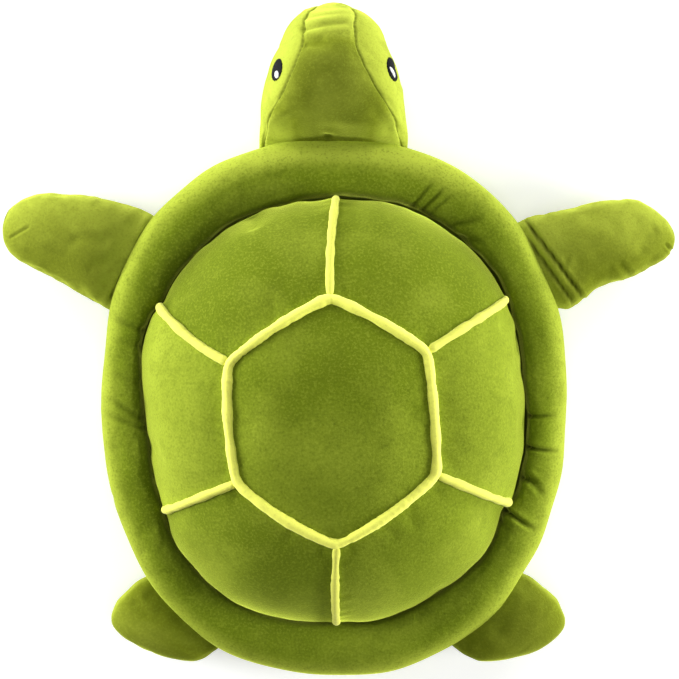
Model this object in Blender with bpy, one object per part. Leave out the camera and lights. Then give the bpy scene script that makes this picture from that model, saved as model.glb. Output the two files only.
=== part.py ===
"""A plush turtle lying flat: a domed shell with a padded rim, a head, two front flippers and two rear feet.

Metres, +Z up, +Y towards the head. The origin is on the flat belly, under the middle of the shell.
"""

import math

import bmesh
import bpy
from mathutils import Vector

# Cloth and sewing
CLOTH = 0.002
CLEARANCE = 0.0003
SEAM_GAP = 0.0008
FACET_ROOM = 0.0008
HEAD_FACET_ROOM = 0.0015
PIPING_DIAMETER = 0.005
EMBROIDERY = 0.0008

# Shell: the outline is an oval whose fullness is 2 for an ellipse, and which is wider towards the head
SHELL_HALF_WIDTH = 0.156
SHELL_HALF_LENGTH = 0.181
FRONT_FULLNESS = 2.2
REAR_FULLNESS = 2.3
EGG_SHARE = 0.04
RIM_WIDTH = 0.038
RIM_HEIGHT = 0.036
RIM_LIFT = 0.002
CREASE_SHARE = 0.84
BELLY_SEAM_SHARE = 0.74
DOME_RISE = 0.088
DOME_FULLNESS = 2.2
DOME_SIDE_POWER = 0.55
PANEL_PUFF = 0.004
SPOKE_TURNS_DEG = (89.6, 154.5, 203, 270.5, 339.5, 387.5)
CORNER_SHARES = (
    (-0.018, 0.52),
    (-0.528, 0.245),
    (-0.487, -0.258),
    (0.015, -0.52),
    (0.518, -0.224),
    (0.468, 0.293),
)
SECTOR_NAMES = ("front_left", "left", "rear_left", "rear_right", "right", "front_right")
SPOKE_NAMES = ("front", "front_left", "rear_left", "rear", "rear_right", "front_right")
SIDE_LOW_SHARE = 0.25
SIDE_HIGH_SHARE = 0.2

# Head
HEAD_LENGTH = 0.089
HEAD_WIDTH = 0.1
HEAD_TOP = 0.05
HEAD_DEPTH = 0.022
HEAD_TURN_DEG = 90
NOSE_LIFT = 0.012
NECK_SLOPE = 2.4
CROWN_SHARES = (
    (0, 0.5),
    (0.1, 0.72),
    (0.22, 0.92),
    (0.36, 1),
    (0.55, 0.95),
    (0.75, 0.76),
    (0.9, 0.5),
    (1, 0),
)
JAW_SHARES = ((0, 0.5), (0.15, 0.85), (0.35, 1), (0.6, 0.95), (0.8, 0.75), (0.93, 0.48), (1, 0))
GUSSET_LEANS_DEG = ((0, 26), (0.4, 48), (0.8, 58), (1, 60))
CHIN_LEAN_DEG = -48
NOSE_END_SHARE = 0.9996
EYE_OUT = 0.044
EYE_LEAN_DEG = 30
EYE_LENGTH = 0.015
EYE_HEIGHT = 0.0155
EYE_TILT_DEG = 20
GLINT_DIAMETER = 0.0036
GLINT_BACK_SHARE = 0.12
GLINT_UP_SHARE = 0.3
EYE_RINGS = (0, 0.5, 1)

# Limbs: the outlines are shares of the length and of the root's width, from the root to the tip
ROOT_GAP = 0.0005
ROOT_RADIUS = 0.003
ROOT_START_DEG = 22
LEAST_HEIGHT_SHARE = 0.35
LIMB_SLOPE = 0.72
LIMB_DROP = 0.003
LIMB_THICKNESS = 0.03
SWELL_SHARES = (
    (0, 0.45),
    (0.2, 0.82),
    (0.38, 0.97),
    (0.56, 1),
    (0.74, 0.9),
    (0.88, 0.68),
    (0.96, 0.42),
    (1, 0),
)
FLIPPER_WIDTH = 0.068
FLIPPER_TURNS_DEG = {"left": 31.4, "right": 30.4}
FLIPPER_LENGTHS = {"left": 0.089, "right": 0.092}
FLIPPER_TIP_SHARES = {"left": -0.12, "right": -0.28}
FLIPPER_FRONT_SHARES = ((0, 0.48), (0.1, 0.47), (0.4, 0.39), (0.71, 0.26), (0.87, 0.15))
FLIPPER_REAR_SHARES = ((0, -0.5), (0.1, -0.53), (0.3, -0.5), (0.6, -0.55), (0.87, -0.54))
FLIPPER_END_SHARE = 0.96
FLIPPER_END_HALF_SHARE = 0.21
FOOT_WIDTH = 0.072
FOOT_TURNS_DEG = {"left": 50, "right": 49}
FOOT_LENGTHS = {"left": 0.037, "right": 0.043}
FOOT_FRONT_SHARES = ((0, 0.53), (0.16, 0.56), (0.54, 0.58), (0.8, 0.53), (0.95, 0.45), (1, 0.34))
FOOT_REAR_SHARES = (
    (0, -0.45),
    (0.2, -0.42),
    (0.4, -0.37),
    (0.64, -0.22),
    (0.85, 0),
    (0.95, 0.17),
    (1, 0.34),
)

# Fineness of the faceted solids
SECTOR_STEPS = 7
PANEL_ROWS = 5
CENTRE_ROWS = 3
RIM_LOW_STEPS = 3
RIM_HIGH_STEPS = 4
RIM_INNER_STEPS = 4
PIPING_SIDES = 6
SPOKE_STEPS = 6
ROOT_STEPS = 2
LIMB_SIDE_STEPS = 6
LIMB_STEPS = 7
HEAD_SIDE_STEPS = 5
HEAD_STEPS = 8
EYE_STEPS = 16
MERGE = 0.000001
SEARCH_STEPS = 40
SHARP_DEG = 50
TURN_DEG = 360

# Colour, roughness and metallic value of each finish
PILE_GREEN = ((0.17, 0.23, 0.014), 0.9, 0)
LIMB_GREEN = ((0.24, 0.3, 0.02), 0.9, 0)
PIPING_YELLOW = ((0.78, 0.8, 0.06), 0.85, 0)
STUFFING_WHITE = ((0.85, 0.85, 0.83), 1, 0)
THREAD_BLACK = ((0.01, 0.011, 0.012), 0.5, 0)
THREAD_WHITE = ((0.85, 0.86, 0.85), 0.5, 0)

# Sizes that follow from those above
PIPING_RADIUS = PIPING_DIAMETER / 2
PIPING_SEAT = PIPING_RADIUS + CLEARANCE
PIPING_RIDE = PIPING_RADIUS - CLOTH
STUFFING_DEPTH = CLOTH + CLEARANCE
FORM_DEPTH = STUFFING_DEPTH + FACET_ROOM
RIM_MIDDLE = RIM_LIFT + RIM_HEIGHT / 2
CREASE_INSET = RIM_WIDTH * CREASE_SHARE
BELLY_SEAM_INSET = RIM_WIDTH * BELLY_SEAM_SHARE
CREASE_LEAN = math.acos(1 - 2 * CREASE_SHARE)
BELLY_LEAN = -math.acos(1 - 2 * BELLY_SEAM_SHARE)
CREASE_HEIGHT = RIM_MIDDLE + RIM_HEIGHT / 2 * math.sin(CREASE_LEAN)
BELLY_SEAM_HEIGHT = RIM_MIDDLE + RIM_HEIGHT / 2 * math.sin(BELLY_LEAN)
DOME_FOOT = CREASE_HEIGHT + SEAM_GAP
DOME_HALF_WIDTH = SHELL_HALF_WIDTH - CREASE_INSET
DOME_HALF_LENGTH = SHELL_HALF_LENGTH - CREASE_INSET
QUARTER = math.pi / 2


def clear_scene():
    for obj in list(bpy.data.objects):
        bpy.data.objects.remove(obj)


def finish(name, look):
    """A plain material of this colour, roughness and metallic value."""
    colour, roughness, metallic = look
    material = bpy.data.materials.new(name)
    material.use_nodes = True
    shader = material.node_tree.nodes["Principled BSDF"]
    shader.inputs["Base Color"].default_value = (*colour, 1)
    shader.inputs["Roughness"].default_value = roughness
    shader.inputs["Metallic"].default_value = metallic
    return material


def add_solid(name, shape, look, carrier):
    """Makes the shape an object that hangs from its carrier, an empty on the joint's axis."""
    bmesh.ops.remove_doubles(shape, verts=shape.verts, dist=MERGE)
    bmesh.ops.recalc_face_normals(shape, faces=shape.faces)
    bmesh.ops.translate(shape, verts=shape.verts, vec=-carrier.location)
    mesh = bpy.data.meshes.new(name)
    shape.to_mesh(mesh)
    shape.free()
    mesh.shade_smooth()
    mesh.set_sharp_from_angle(angle=math.radians(SHARP_DEG))
    mesh.materials.append(finish(name, look))
    obj = bpy.data.objects.new(name, mesh)
    obj.parent = carrier
    bpy.context.collection.objects.link(obj)
    return obj


def add_carrier(name, place):
    empty = bpy.data.objects.new(name, None)
    empty.location = place
    bpy.context.collection.objects.link(empty)
    return empty


def split_face(shape, corners):
    """A four-sided face as two triangles, always cut along the same diagonal."""
    first, second, third, fourth = corners
    shape.faces.new((first, second, third))
    shape.faces.new((first, third, fourth))


def sheet(outer, inner):
    """A curved sheet of cloth between two grids of points, closed by walls along its border."""
    shape = bmesh.new()
    front = [[shape.verts.new(point) for point in row] for row in outer]
    back = [[shape.verts.new(point) for point in row] for row in inner]
    rows, columns = len(front), len(front[0])
    for i in range(rows - 1):
        for j in range(columns - 1):
            split_face(shape, (front[i][j], front[i][j + 1], front[i + 1][j + 1], front[i + 1][j]))
            split_face(shape, (back[i][j], back[i + 1][j], back[i + 1][j + 1], back[i][j + 1]))
    border = [(0, j) for j in range(columns - 1)]
    border += [(i, columns - 1) for i in range(rows - 1)]
    border += [(rows - 1, j) for j in range(columns - 1, 0, -1)]
    border += [(i, 0) for i in range(rows - 1, 0, -1)]
    for (i, j), (k, m) in zip(border, border[1:] + border[:1]):
        split_face(shape, (front[k][m], front[i][j], back[i][j], back[k][m]))
    return shape


def loft(loops, closed=False):
    """A solid through loops of points. It is closed on itself, or has a flat cap or a point at each end."""
    shape = bmesh.new()
    rings = [[shape.verts.new(point) for point in loop] for loop in loops]
    pairs = list(zip(rings, rings[1:]))
    if closed:
        pairs.append((rings[-1], rings[0]))
    else:
        shape.faces.new(reversed(rings[0]))
        shape.faces.new(rings[-1])
    for lower, upper in pairs:
        for j in range(len(lower)):
            k = (j + 1) % len(lower)
            split_face(shape, (lower[j], lower[k], upper[k], upper[j]))
    return shape


def between(start, end, share):
    return start + (end - start) * share


def read_table(table, place):
    """The value of a table of (place, value) pairs, on straight lines between them."""
    for (start, first), (end, second) in zip(table, table[1:]):
        if place <= end:
            return between(first, second, (place - start) / (end - start))
    return table[-1][1]


def oval_shares(turn):
    """Where the shell's outline is at this turn, as shares of its half width and half length."""
    cosine, sine = math.cos(turn), math.sin(turn)
    power = 2 / (FRONT_FULLNESS if sine > 0 else REAR_FULLNESS)
    width = math.copysign(abs(cosine) ** power, cosine) * (1 + EGG_SHARE * sine)
    return width, math.copysign(abs(sine) ** power, sine)


def oval(turn, inset, height):
    """A point inside the shell's outline by the inset, at this height."""
    width, length = oval_shares(turn)
    return Vector((width * (SHELL_HALF_WIDTH - inset), length * (SHELL_HALF_LENGTH - inset), height))


def ring_turns():
    """The turns of every column around the shell, those of the spokes among them."""
    turns = []
    for sector in range(len(SPOKE_TURNS_DEG)):
        turns += [column_turn(sector, step / SECTOR_STEPS) for step in range(SECTOR_STEPS)]
    return turns


def column_turn(sector, across):
    turns = (*SPOKE_TURNS_DEG, SPOKE_TURNS_DEG[0] + TURN_DEG)
    return math.radians(between(turns[sector], turns[sector + 1], across))


def corner(index):
    return Vector(CORNER_SHARES[index % len(CORNER_SHARES)])


def hexagon_place(sector, across):
    return between(corner(sector), corner(sector + 1), across)


def crease_place(sector, across):
    return Vector(oval_shares(column_turn(sector, across)))


def plan_place(sector, across, out):
    """A place on the dome as shares of its half sizes. Out is 1 on the hexagon and 2 at the crease."""
    edge = hexagon_place(sector, across)
    if out <= 1:
        return edge * out
    return between(edge, crease_place(sector, across), out - 1)


def dome_point(sector, across, out, depth, puff=0):
    """A point of the dome this far under its surface. Puff lifts it along the line from the dome's foot."""
    place = plan_place(sector, across, out)
    edge = hexagon_place(sector, across)
    edge_reach = sum(abs(share) ** DOME_FULLNESS for share in edge) ** (1 / DOME_FULLNESS)
    reach = edge_reach * out if out <= 1 else between(edge_reach, 1, out - 1)
    profile = max(1 - reach**DOME_FULLNESS, 0) ** DOME_SIDE_POWER
    width, length = DOME_HALF_WIDTH - depth, DOME_HALF_LENGTH - depth
    lift = Vector((place.x * width, place.y * length, (DOME_RISE - depth) * profile))
    return Vector((0, 0, DOME_FOOT)) + lift + lift.normalized() * puff


def plan_metres(sector, across, out):
    place = plan_place(sector, across, out)
    return Vector((place.x * DOME_HALF_WIDTH, place.y * DOME_HALF_LENGTH))


def seat_share(start, end, seam):
    """The share of the way from start to end that leaves room for the piping along a seam through start."""
    way = end - start
    sine = abs(way.normalized().cross(seam.normalized()))
    return PIPING_SEAT / (way.length * sine)


def spoke_seats(sector, out):
    """The shares across a sector at which its panel begins and ends, beside its two spokes."""
    left, right = plan_metres(sector, 0, out), plan_metres(sector, 1, out)
    left_spoke = plan_metres(sector, 0, 2) - plan_metres(sector, 0, 1)
    right_spoke = plan_metres(sector, 1, 2) - plan_metres(sector, 1, 1)
    return seat_share(left, right, left_spoke), 1 - seat_share(right, left, right_spoke)


def hexagon_edge(sector):
    return plan_metres(sector, 1, 1) - plan_metres(sector, 0, 1)


def side_puff(across, out):
    """How far a side panel swells between its seams."""
    return PANEL_PUFF * math.sin(math.pi * across) * math.sin(math.pi * (out - 1))


def side_panel_grid(sector, depth):
    rows = []
    for i in range(PANEL_ROWS + 1):
        ease = math.sin(QUARTER * i / PANEL_ROWS)
        row = []
        for j in range(SECTOR_STEPS + 1):
            start, end = spoke_seats(sector, 1 + ease)
            across = between(start, end, j / SECTOR_STEPS)
            foot, rim = plan_metres(sector, across, 1), plan_metres(sector, across, 2)
            out = 1 + between(seat_share(foot, rim, hexagon_edge(sector)), 1, ease)
            row.append(dome_point(sector, across, out, depth, side_puff(across, out)))
        rows.append(row)
    return rows


def centre_puff(out):
    return PANEL_PUFF * (1 - out**2)


def centre_panel_loops(depth):
    """Rings of the middle panel from its edge inwards."""
    loops = []
    for i in range(CENTRE_ROWS, -1, -1):
        loop = []
        for sector in range(len(CORNER_SHARES)):
            for j in range(SECTOR_STEPS):
                across = j / SECTOR_STEPS
                edge = plan_metres(sector, across, 1)
                most = 1 - seat_share(edge, Vector((0, 0)), hexagon_edge(sector))
                out = most * i / CENTRE_ROWS
                loop.append(dome_point(sector, across, out, depth, centre_puff(out)))
        loops.append(loop)
    return loops


def dome_loop(out, depth):
    """A ring of the stuffing under the panels."""
    loop = []
    for sector in range(len(CORNER_SHARES)):
        for j in range(SECTOR_STEPS):
            across = j / SECTOR_STEPS
            puff = centre_puff(out) if out <= 1 else side_puff(across, out)
            loop.append(dome_point(sector, across, out, depth, puff))
    return loop


def add_shell_stuffing(carrier):
    loops = [[oval(turn, SHELL_HALF_WIDTH, STUFFING_DEPTH) for turn in ring_turns()]]
    side = RIM_WIDTH - CLOTH
    for inset, height in (
        (RIM_WIDTH + CLOTH, STUFFING_DEPTH),
        (side, RIM_MIDDLE - RIM_HEIGHT * SIDE_LOW_SHARE),
        (side, RIM_MIDDLE + RIM_HEIGHT * SIDE_HIGH_SHARE),
    ):
        loops.append([oval(turn, inset, height) for turn in ring_turns()])
    for i in range(PANEL_ROWS, -1, -1):
        loops.append(dome_loop(1 + math.sin(QUARTER * i / PANEL_ROWS), FORM_DEPTH))
    for i in range(CENTRE_ROWS - 1, -1, -1):
        loops.append(dome_loop(i / CENTRE_ROWS, FORM_DEPTH))
    loops[0] = [Vector((0, 0, STUFFING_DEPTH)) for _ in loops[0]]
    add_solid("shell_stuffing", loft(loops), STUFFING_WHITE, carrier)


def add_dome_panels(carrier):
    for sector, name in enumerate(SECTOR_NAMES):
        grids = side_panel_grid(sector, 0), side_panel_grid(sector, CLOTH)
        add_solid(f"{name}_shell_panel", sheet(*grids), PILE_GREEN, carrier)
    loops = centre_panel_loops(0)[::-1] + centre_panel_loops(CLOTH)
    add_solid("centre_shell_panel", loft(loops), PILE_GREEN, carrier)


def piping_loop(place, along):
    """The outline of the piping cord about one point of its path, square to the way it runs."""
    up = (place - Vector((0, 0, DOME_FOOT))).normalized()
    side = along.cross(up).normalized()
    up = side.cross(along).normalized()
    loop = []
    for step in range(PIPING_SIDES):
        turn = 2 * math.pi * (step + 0.5) / PIPING_SIDES
        loop.append(place + (side * math.cos(turn) + up * math.sin(turn)) * PIPING_RADIUS)
    return loop


def add_piping(carrier):
    path = []
    for sector in range(len(CORNER_SHARES)):
        for j in range(SECTOR_STEPS):
            path.append(dome_point(sector, j / SECTOR_STEPS, 1, -PIPING_RIDE))
    ways = [after - before for before, after in zip([path[-1], *path[:-1]], [*path[1:], path[0]])]
    loops = [piping_loop(place, way.normalized()) for place, way in zip(path, ways)]
    add_solid("hexagon_piping", loft(loops, closed=True), PIPING_YELLOW, carrier)
    for sector in range(len(CORNER_SHARES)):
        add_spoke(sector, carrier)


def add_spoke(sector, carrier):
    """The piping from a corner of the hexagon down to the crease, where it stops clear of the rim."""
    length = (plan_metres(sector, 0, 2) - plan_metres(sector, 0, 1)).length
    first = (PIPING_SEAT + CLEARANCE) / length
    height = (PIPING_DIAMETER / DOME_RISE) ** (1 / DOME_SIDE_POWER)
    edge_reach = sum(abs(share) ** DOME_FULLNESS for share in corner(sector)) ** (1 / DOME_FULLNESS)
    last = ((1 - height) ** (1 / DOME_FULLNESS) - edge_reach) / (1 - edge_reach)
    path = []
    for i in range(SPOKE_STEPS + 1):
        ease = math.sin(QUARTER * i / SPOKE_STEPS)
        path.append(dome_point(sector, 0, 1 + between(first, last, ease), -PIPING_RIDE))
    ways = [path[1] - path[0]]
    ways += [after - before for before, after in zip(path, path[2:])]
    ways.append(path[-1] - path[-2])
    loops = [piping_loop(place, way.normalized()) for place, way in zip(path, ways)]
    add_solid(f"{SPOKE_NAMES[sector]}_spoke_piping", loft(loops), PIPING_YELLOW, carrier)


def rim_point(turn, lean, depth):
    """A point of the rim's roll. Lean is 0 at its outer side and a quarter turn on its top."""
    inset = RIM_WIDTH / 2 - (RIM_WIDTH / 2 - depth) * math.cos(lean)
    return oval(turn, inset, RIM_MIDDLE + (RIM_HEIGHT / 2 - depth) * math.sin(lean))


def add_rim(carrier):
    """The cloth is open where it is sewn to the dome and the belly. The stuffing is a full roll."""
    cover_leans = [between(BELLY_LEAN, 0, i / RIM_LOW_STEPS) for i in range(RIM_LOW_STEPS)]
    cover_leans += [between(0, CREASE_LEAN, i / RIM_HIGH_STEPS) for i in range(RIM_HIGH_STEPS + 1)]
    rest = 2 * math.pi + BELLY_LEAN - CREASE_LEAN
    inner_leans = [CREASE_LEAN + rest * i / RIM_INNER_STEPS for i in range(1, RIM_INNER_STEPS)]
    cover, roll = [], []
    for turn in ring_turns():
        outer = [rim_point(turn, lean, 0) for lean in cover_leans]
        inner = [rim_point(turn, lean, CLOTH) for lean in reversed(cover_leans)]
        cover.append(outer + inner)
        roll.append([rim_point(turn, lean, STUFFING_DEPTH) for lean in cover_leans + inner_leans])
    add_solid("rim_cover", loft(cover, closed=True), PILE_GREEN, carrier)
    add_solid("rim_stuffing", loft(roll, closed=True), STUFFING_WHITE, carrier)


def add_belly(carrier):
    """A flat panel on which the turtle rests, turned up at its edge to meet the rim's seam."""
    edge = BELLY_SEAM_INSET + SEAM_GAP
    profile = (
        (RIM_WIDTH, 0),
        (edge, BELLY_SEAM_HEIGHT - CLOTH / 2),
        (edge, BELLY_SEAM_HEIGHT + CLOTH / 2),
        (RIM_WIDTH, CLOTH),
    )
    loops = [[oval(turn, inset, height) for turn in ring_turns()] for inset, height in profile]
    add_solid("belly_panel", loft(loops), PILE_GREEN, carrier)


class Form:
    """A limb or the head, which grows outward from the rim's outer face at one turn round the shell."""

    def __init__(self, turn_deg, length, edges, top, bottom, lift, slope, toward_head=1):
        self.turn = math.radians(turn_deg)
        self.length = length
        self.edges = edges
        self.top = top
        self.bottom = bottom
        self.lift = lift
        self.slope = slope
        self.toward_head = toward_head
        step = QUARTER / SEARCH_STEPS
        tangent = (oval(self.turn + step, 0, 0) - oval(self.turn - step, 0, 0)).normalized()
        self.outward = Vector((tangent.y, -tangent.x, 0))
        self.along = tangent * toward_head
        self.face = oval(self.turn, 0, RIM_MIDDLE) + self.outward * ROOT_GAP
        self.hinge = self.face + self.outward * ROOT_RADIUS

    def rim_behind(self, across):
        """How far the rim's face lies behind the root's line, this far along it."""
        low, high = -QUARTER, QUARTER
        for _ in range(SEARCH_STEPS):
            middle = (low + high) / 2
            place = oval(self.turn + middle * self.toward_head, 0, RIM_MIDDLE) - self.face
            if place.dot(self.along) < across:
                low = middle
            else:
                high = middle
        return min(place.dot(self.outward) + ROOT_GAP, 0)

    def stations(self, steps):
        """Distances from the root: a rounded edge that turns in place on the hinge, and then the swell."""
        start = math.radians(ROOT_START_DEG)
        turns = [between(start, QUARTER, i / ROOT_STEPS) for i in range(ROOT_STEPS + 1)]
        eases = [math.sin(QUARTER * i / steps) for i in range(1, steps + 1)]
        rounds = [ROOT_RADIUS * (1 - math.cos(turn)) for turn in turns]
        return rounds + [between(ROOT_RADIUS, self.length, ease) for ease in eases]

    def half_height(self, out, most):
        """Half of the thickness at this distance, where the full swell would give most."""
        if out < ROOT_RADIUS:
            return math.sqrt(ROOT_RADIUS**2 - (ROOT_RADIUS - out) ** 2)
        return min(most, ROOT_RADIUS + self.slope * (out - ROOT_RADIUS))

    def point(self, out, lean, depth, raised=0):
        """A point of the form, this far under its surface. Lean is 0 at its edge towards the head."""
        share = out / self.length
        front, rear = (edge(share) for edge in self.edges)
        half = (front - rear) / 2 - depth * (1 if front - rear > 2 * depth else 0)
        across = (front + rear) / 2 + max(half, 0) * math.cos(lean)
        most = self.top(share) if math.sin(lean) >= 0 else self.bottom(share)
        full = self.half_height(out, most)
        height = max(full - depth, full * LEAST_HEIGHT_SHARE) * math.sin(lean)
        inner = between(depth, self.length - depth, share)
        behind = self.rim_behind(across) * (1 - share) ** 2
        place = self.face + self.outward * (inner + behind) + self.along * across
        place.z += self.lift * share + height + raised
        return place


def limb_swell(share):
    return LIMB_THICKNESS / 2 * read_table(SWELL_SHARES, share)


def add_limb(name, form, carrier):
    """Two cloth panels sewn together along the limb's edge, round a fill."""
    stations = form.stations(LIMB_STEPS)
    for side, start in (("top", 0), ("bottom", math.pi)):
        leans = [start + math.pi * j / LIMB_SIDE_STEPS for j in range(LIMB_SIDE_STEPS + 1)]
        raised = SEAM_GAP / 2 if side == "top" else -SEAM_GAP / 2
        grids = []
        for depth in (0, CLOTH):
            grids.append([[form.point(out, lean, depth, raised) for lean in leans] for out in stations])
        add_solid(f"{name}_{side}_panel", sheet(*grids), LIMB_GREEN, carrier)
    add_filling(name, form, stations, STUFFING_DEPTH, carrier)


def add_filling(name, form, stations, depth, carrier):
    """The stuffing, which begins where the limb is thick enough to hold some."""
    leans = [math.pi * j / LIMB_SIDE_STEPS for j in range(2 * LIMB_SIDE_STEPS)]
    loops = []
    for out in stations:
        thinnest = min(form.half_height(out, most(out / form.length)) for most in (form.top, form.bottom))
        if thinnest > 2 * depth or loops:
            loops.append([form.point(out, lean, depth) for lean in leans])
    add_solid(f"{name}_stuffing", loft(loops), STUFFING_WHITE, carrier)


def flipper_edges(side):
    """The flipper's two edges, which close in a round tip that leans as the photographed one does."""
    tip = FLIPPER_TIP_SHARES[side]
    front = (*FLIPPER_FRONT_SHARES, (FLIPPER_END_SHARE, tip + FLIPPER_END_HALF_SHARE), (1, tip))
    rear = (*FLIPPER_REAR_SHARES, (FLIPPER_END_SHARE, tip - FLIPPER_END_HALF_SHARE), (1, tip))
    return (
        lambda share: FLIPPER_WIDTH * read_table(front, share),
        lambda share: FLIPPER_WIDTH * read_table(rear, share),
    )


def foot_edges():
    return (
        lambda share: FOOT_WIDTH * read_table(FOOT_FRONT_SHARES, share),
        lambda share: FOOT_WIDTH * read_table(FOOT_REAR_SHARES, share),
    )


def limb_form(kind, side):
    """The form of a front flipper or a rear foot. A left limb mirrors a right one."""
    if kind == "flipper":
        turn, length, edges = FLIPPER_TURNS_DEG[side], FLIPPER_LENGTHS[side], flipper_edges(side)
    else:
        turn, length, edges = -FOOT_TURNS_DEG[side], FOOT_LENGTHS[side], foot_edges()
    if side == "left":
        turn = 180 - turn
    toward_head = 1 if side == "right" else -1
    return Form(turn, length, edges, limb_swell, limb_swell, -LIMB_DROP, LIMB_SLOPE, toward_head)


def head_round(share):
    return math.sqrt(max(1 - share**2, 0))


def head_form():
    half = HEAD_WIDTH / 2
    edges = (lambda share: half * head_round(share), lambda share: -half * head_round(share))
    return Form(
        HEAD_TURN_DEG,
        HEAD_LENGTH,
        edges,
        lambda share: HEAD_TOP * read_table(CROWN_SHARES, share),
        lambda share: HEAD_DEPTH * read_table(JAW_SHARES, share),
        NOSE_LIFT,
        NECK_SLOPE,
        toward_head=-1,
    )


def head_panel_grid(form, leans_at, depth, raised):
    """A panel of the head between two leans that change along it, less half a seam's gap on each side."""
    grid = []
    for out in form.stations(HEAD_STEPS):
        out = min(out, form.length * NOSE_END_SHARE)
        share = out / form.length
        start, end = (math.radians(lean) for lean in leans_at(share))
        half = HEAD_WIDTH / 2 * head_round(share)
        start, end = start + SEAM_GAP / 2 / half, end - SEAM_GAP / 2 / half
        leans = [between(start, end, j / HEAD_SIDE_STEPS) for j in range(HEAD_SIDE_STEPS + 1)]
        grid.append([form.point(out, lean, depth, raised) for lean in leans])
    return grid


def add_head(carrier, form):
    def gusset(share):
        lean = read_table(GUSSET_LEANS_DEG, share)
        return lean, 180 - lean

    panels = {
        "head_top_gusset": (gusset, SEAM_GAP / 2),
        "head_right_panel": (lambda share: (CHIN_LEAN_DEG, gusset(share)[0]), 0),
        "head_left_panel": (lambda share: (gusset(share)[1], 180 - CHIN_LEAN_DEG), 0),
        "head_chin_panel": (lambda share: (180 - CHIN_LEAN_DEG, TURN_DEG + CHIN_LEAN_DEG), -SEAM_GAP / 2),
    }
    for name, (leans_at, raised) in panels.items():
        grids = [head_panel_grid(form, leans_at, depth, raised) for depth in (0, CLOTH)]
        add_solid(name, sheet(*grids), LIMB_GREEN, carrier)
    add_filling("head", form, form.stations(HEAD_STEPS), STUFFING_DEPTH + HEAD_FACET_ROOM, carrier)


def patch_loops(form, out, lean, length, height, tilt, near, far):
    """Rings of an embroidered oval that lies on the head, from its middle out and back under it."""
    half = HEAD_WIDTH / 2
    loops = []
    rings = [(size, near) for size in EYE_RINGS] + [(size, far) for size in reversed(EYE_RINGS)]
    for size, depth in rings:
        loop = []
        for step in range(EYE_STEPS):
            turn = 2 * math.pi * step / EYE_STEPS
            along, up = length / 2 * size * math.cos(turn), height / 2 * size * math.sin(turn)
            forward = along * math.cos(tilt) - up * math.sin(tilt)
            rise = along * math.sin(tilt) + up * math.cos(tilt)
            lean_step = rise / half if math.cos(lean) > 0 else -rise / half
            loop.append(form.point(out + forward, lean + lean_step, depth))
        loops.append(loop)
    return loops


def add_eyes(carrier, form):
    for side, lean_deg in (("right", EYE_LEAN_DEG), ("left", 180 - EYE_LEAN_DEG)):
        lean = math.radians(lean_deg)
        tilt = math.radians(EYE_TILT_DEG)
        top = -CLEARANCE - EMBROIDERY
        eye = patch_loops(form, EYE_OUT, lean, EYE_LENGTH, EYE_HEIGHT, tilt, top, -CLEARANCE)
        add_solid(f"{side}_eye", loft(eye), THREAD_BLACK, carrier)
        rise = EYE_HEIGHT * GLINT_UP_SHARE / (HEAD_WIDTH / 2)
        place = EYE_OUT - EYE_LENGTH * GLINT_BACK_SHARE
        glint_lean = lean + (rise if side == "right" else -rise)
        glint_top = top - CLEARANCE - EMBROIDERY
        ends = glint_top, top - CLEARANCE
        glint = patch_loops(form, place, glint_lean, GLINT_DIAMETER, GLINT_DIAMETER, tilt, *ends)
        add_solid(f"{side}_eye_highlight", loft(glint), THREAD_WHITE, carrier)


def main():
    clear_scene()
    shell = add_carrier("shell_carrier", Vector((0, 0, 0)))
    add_shell_stuffing(shell)
    add_dome_panels(shell)
    add_piping(shell)
    add_rim(shell)
    add_belly(shell)
    head = head_form()
    neck = add_carrier("neck_hinge", head.hinge)
    add_head(neck, head)
    add_eyes(neck, head)
    for kind in ("flipper", "foot"):
        for side in ("left", "right"):
            form = limb_form(kind, side)
            name = f"{side}_{kind}"
            add_limb(name, form, add_carrier(f"{name}_hinge", form.hinge))


main()
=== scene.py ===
import math

import bpy
import numpy as np
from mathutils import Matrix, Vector
from mathutils.bvhtree import BVHTree


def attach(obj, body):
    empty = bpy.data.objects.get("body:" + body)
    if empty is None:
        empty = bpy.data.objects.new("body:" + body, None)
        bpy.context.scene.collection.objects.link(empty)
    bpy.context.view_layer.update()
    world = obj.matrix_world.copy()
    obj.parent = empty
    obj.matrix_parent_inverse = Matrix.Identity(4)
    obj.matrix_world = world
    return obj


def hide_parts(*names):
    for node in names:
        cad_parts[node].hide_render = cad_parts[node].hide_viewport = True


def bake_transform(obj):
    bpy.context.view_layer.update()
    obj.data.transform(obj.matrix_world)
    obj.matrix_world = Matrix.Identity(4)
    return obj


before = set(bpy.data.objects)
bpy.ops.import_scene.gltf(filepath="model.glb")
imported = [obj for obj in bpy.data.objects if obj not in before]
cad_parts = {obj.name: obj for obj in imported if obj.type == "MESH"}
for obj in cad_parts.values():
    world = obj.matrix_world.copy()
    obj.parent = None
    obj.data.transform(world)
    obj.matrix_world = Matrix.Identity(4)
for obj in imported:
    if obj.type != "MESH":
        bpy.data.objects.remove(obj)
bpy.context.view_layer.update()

bl_info = {
    "name": "Plush turtle",
    "version": (1, 0, 0),
    "blender": (4, 5, 0),
    "location": "3D View > Sidebar > Turtle",
    "description": "Dresses the packed turtle in short-pile cloth, piping and embroidery",
    "category": "Object",
}

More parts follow.
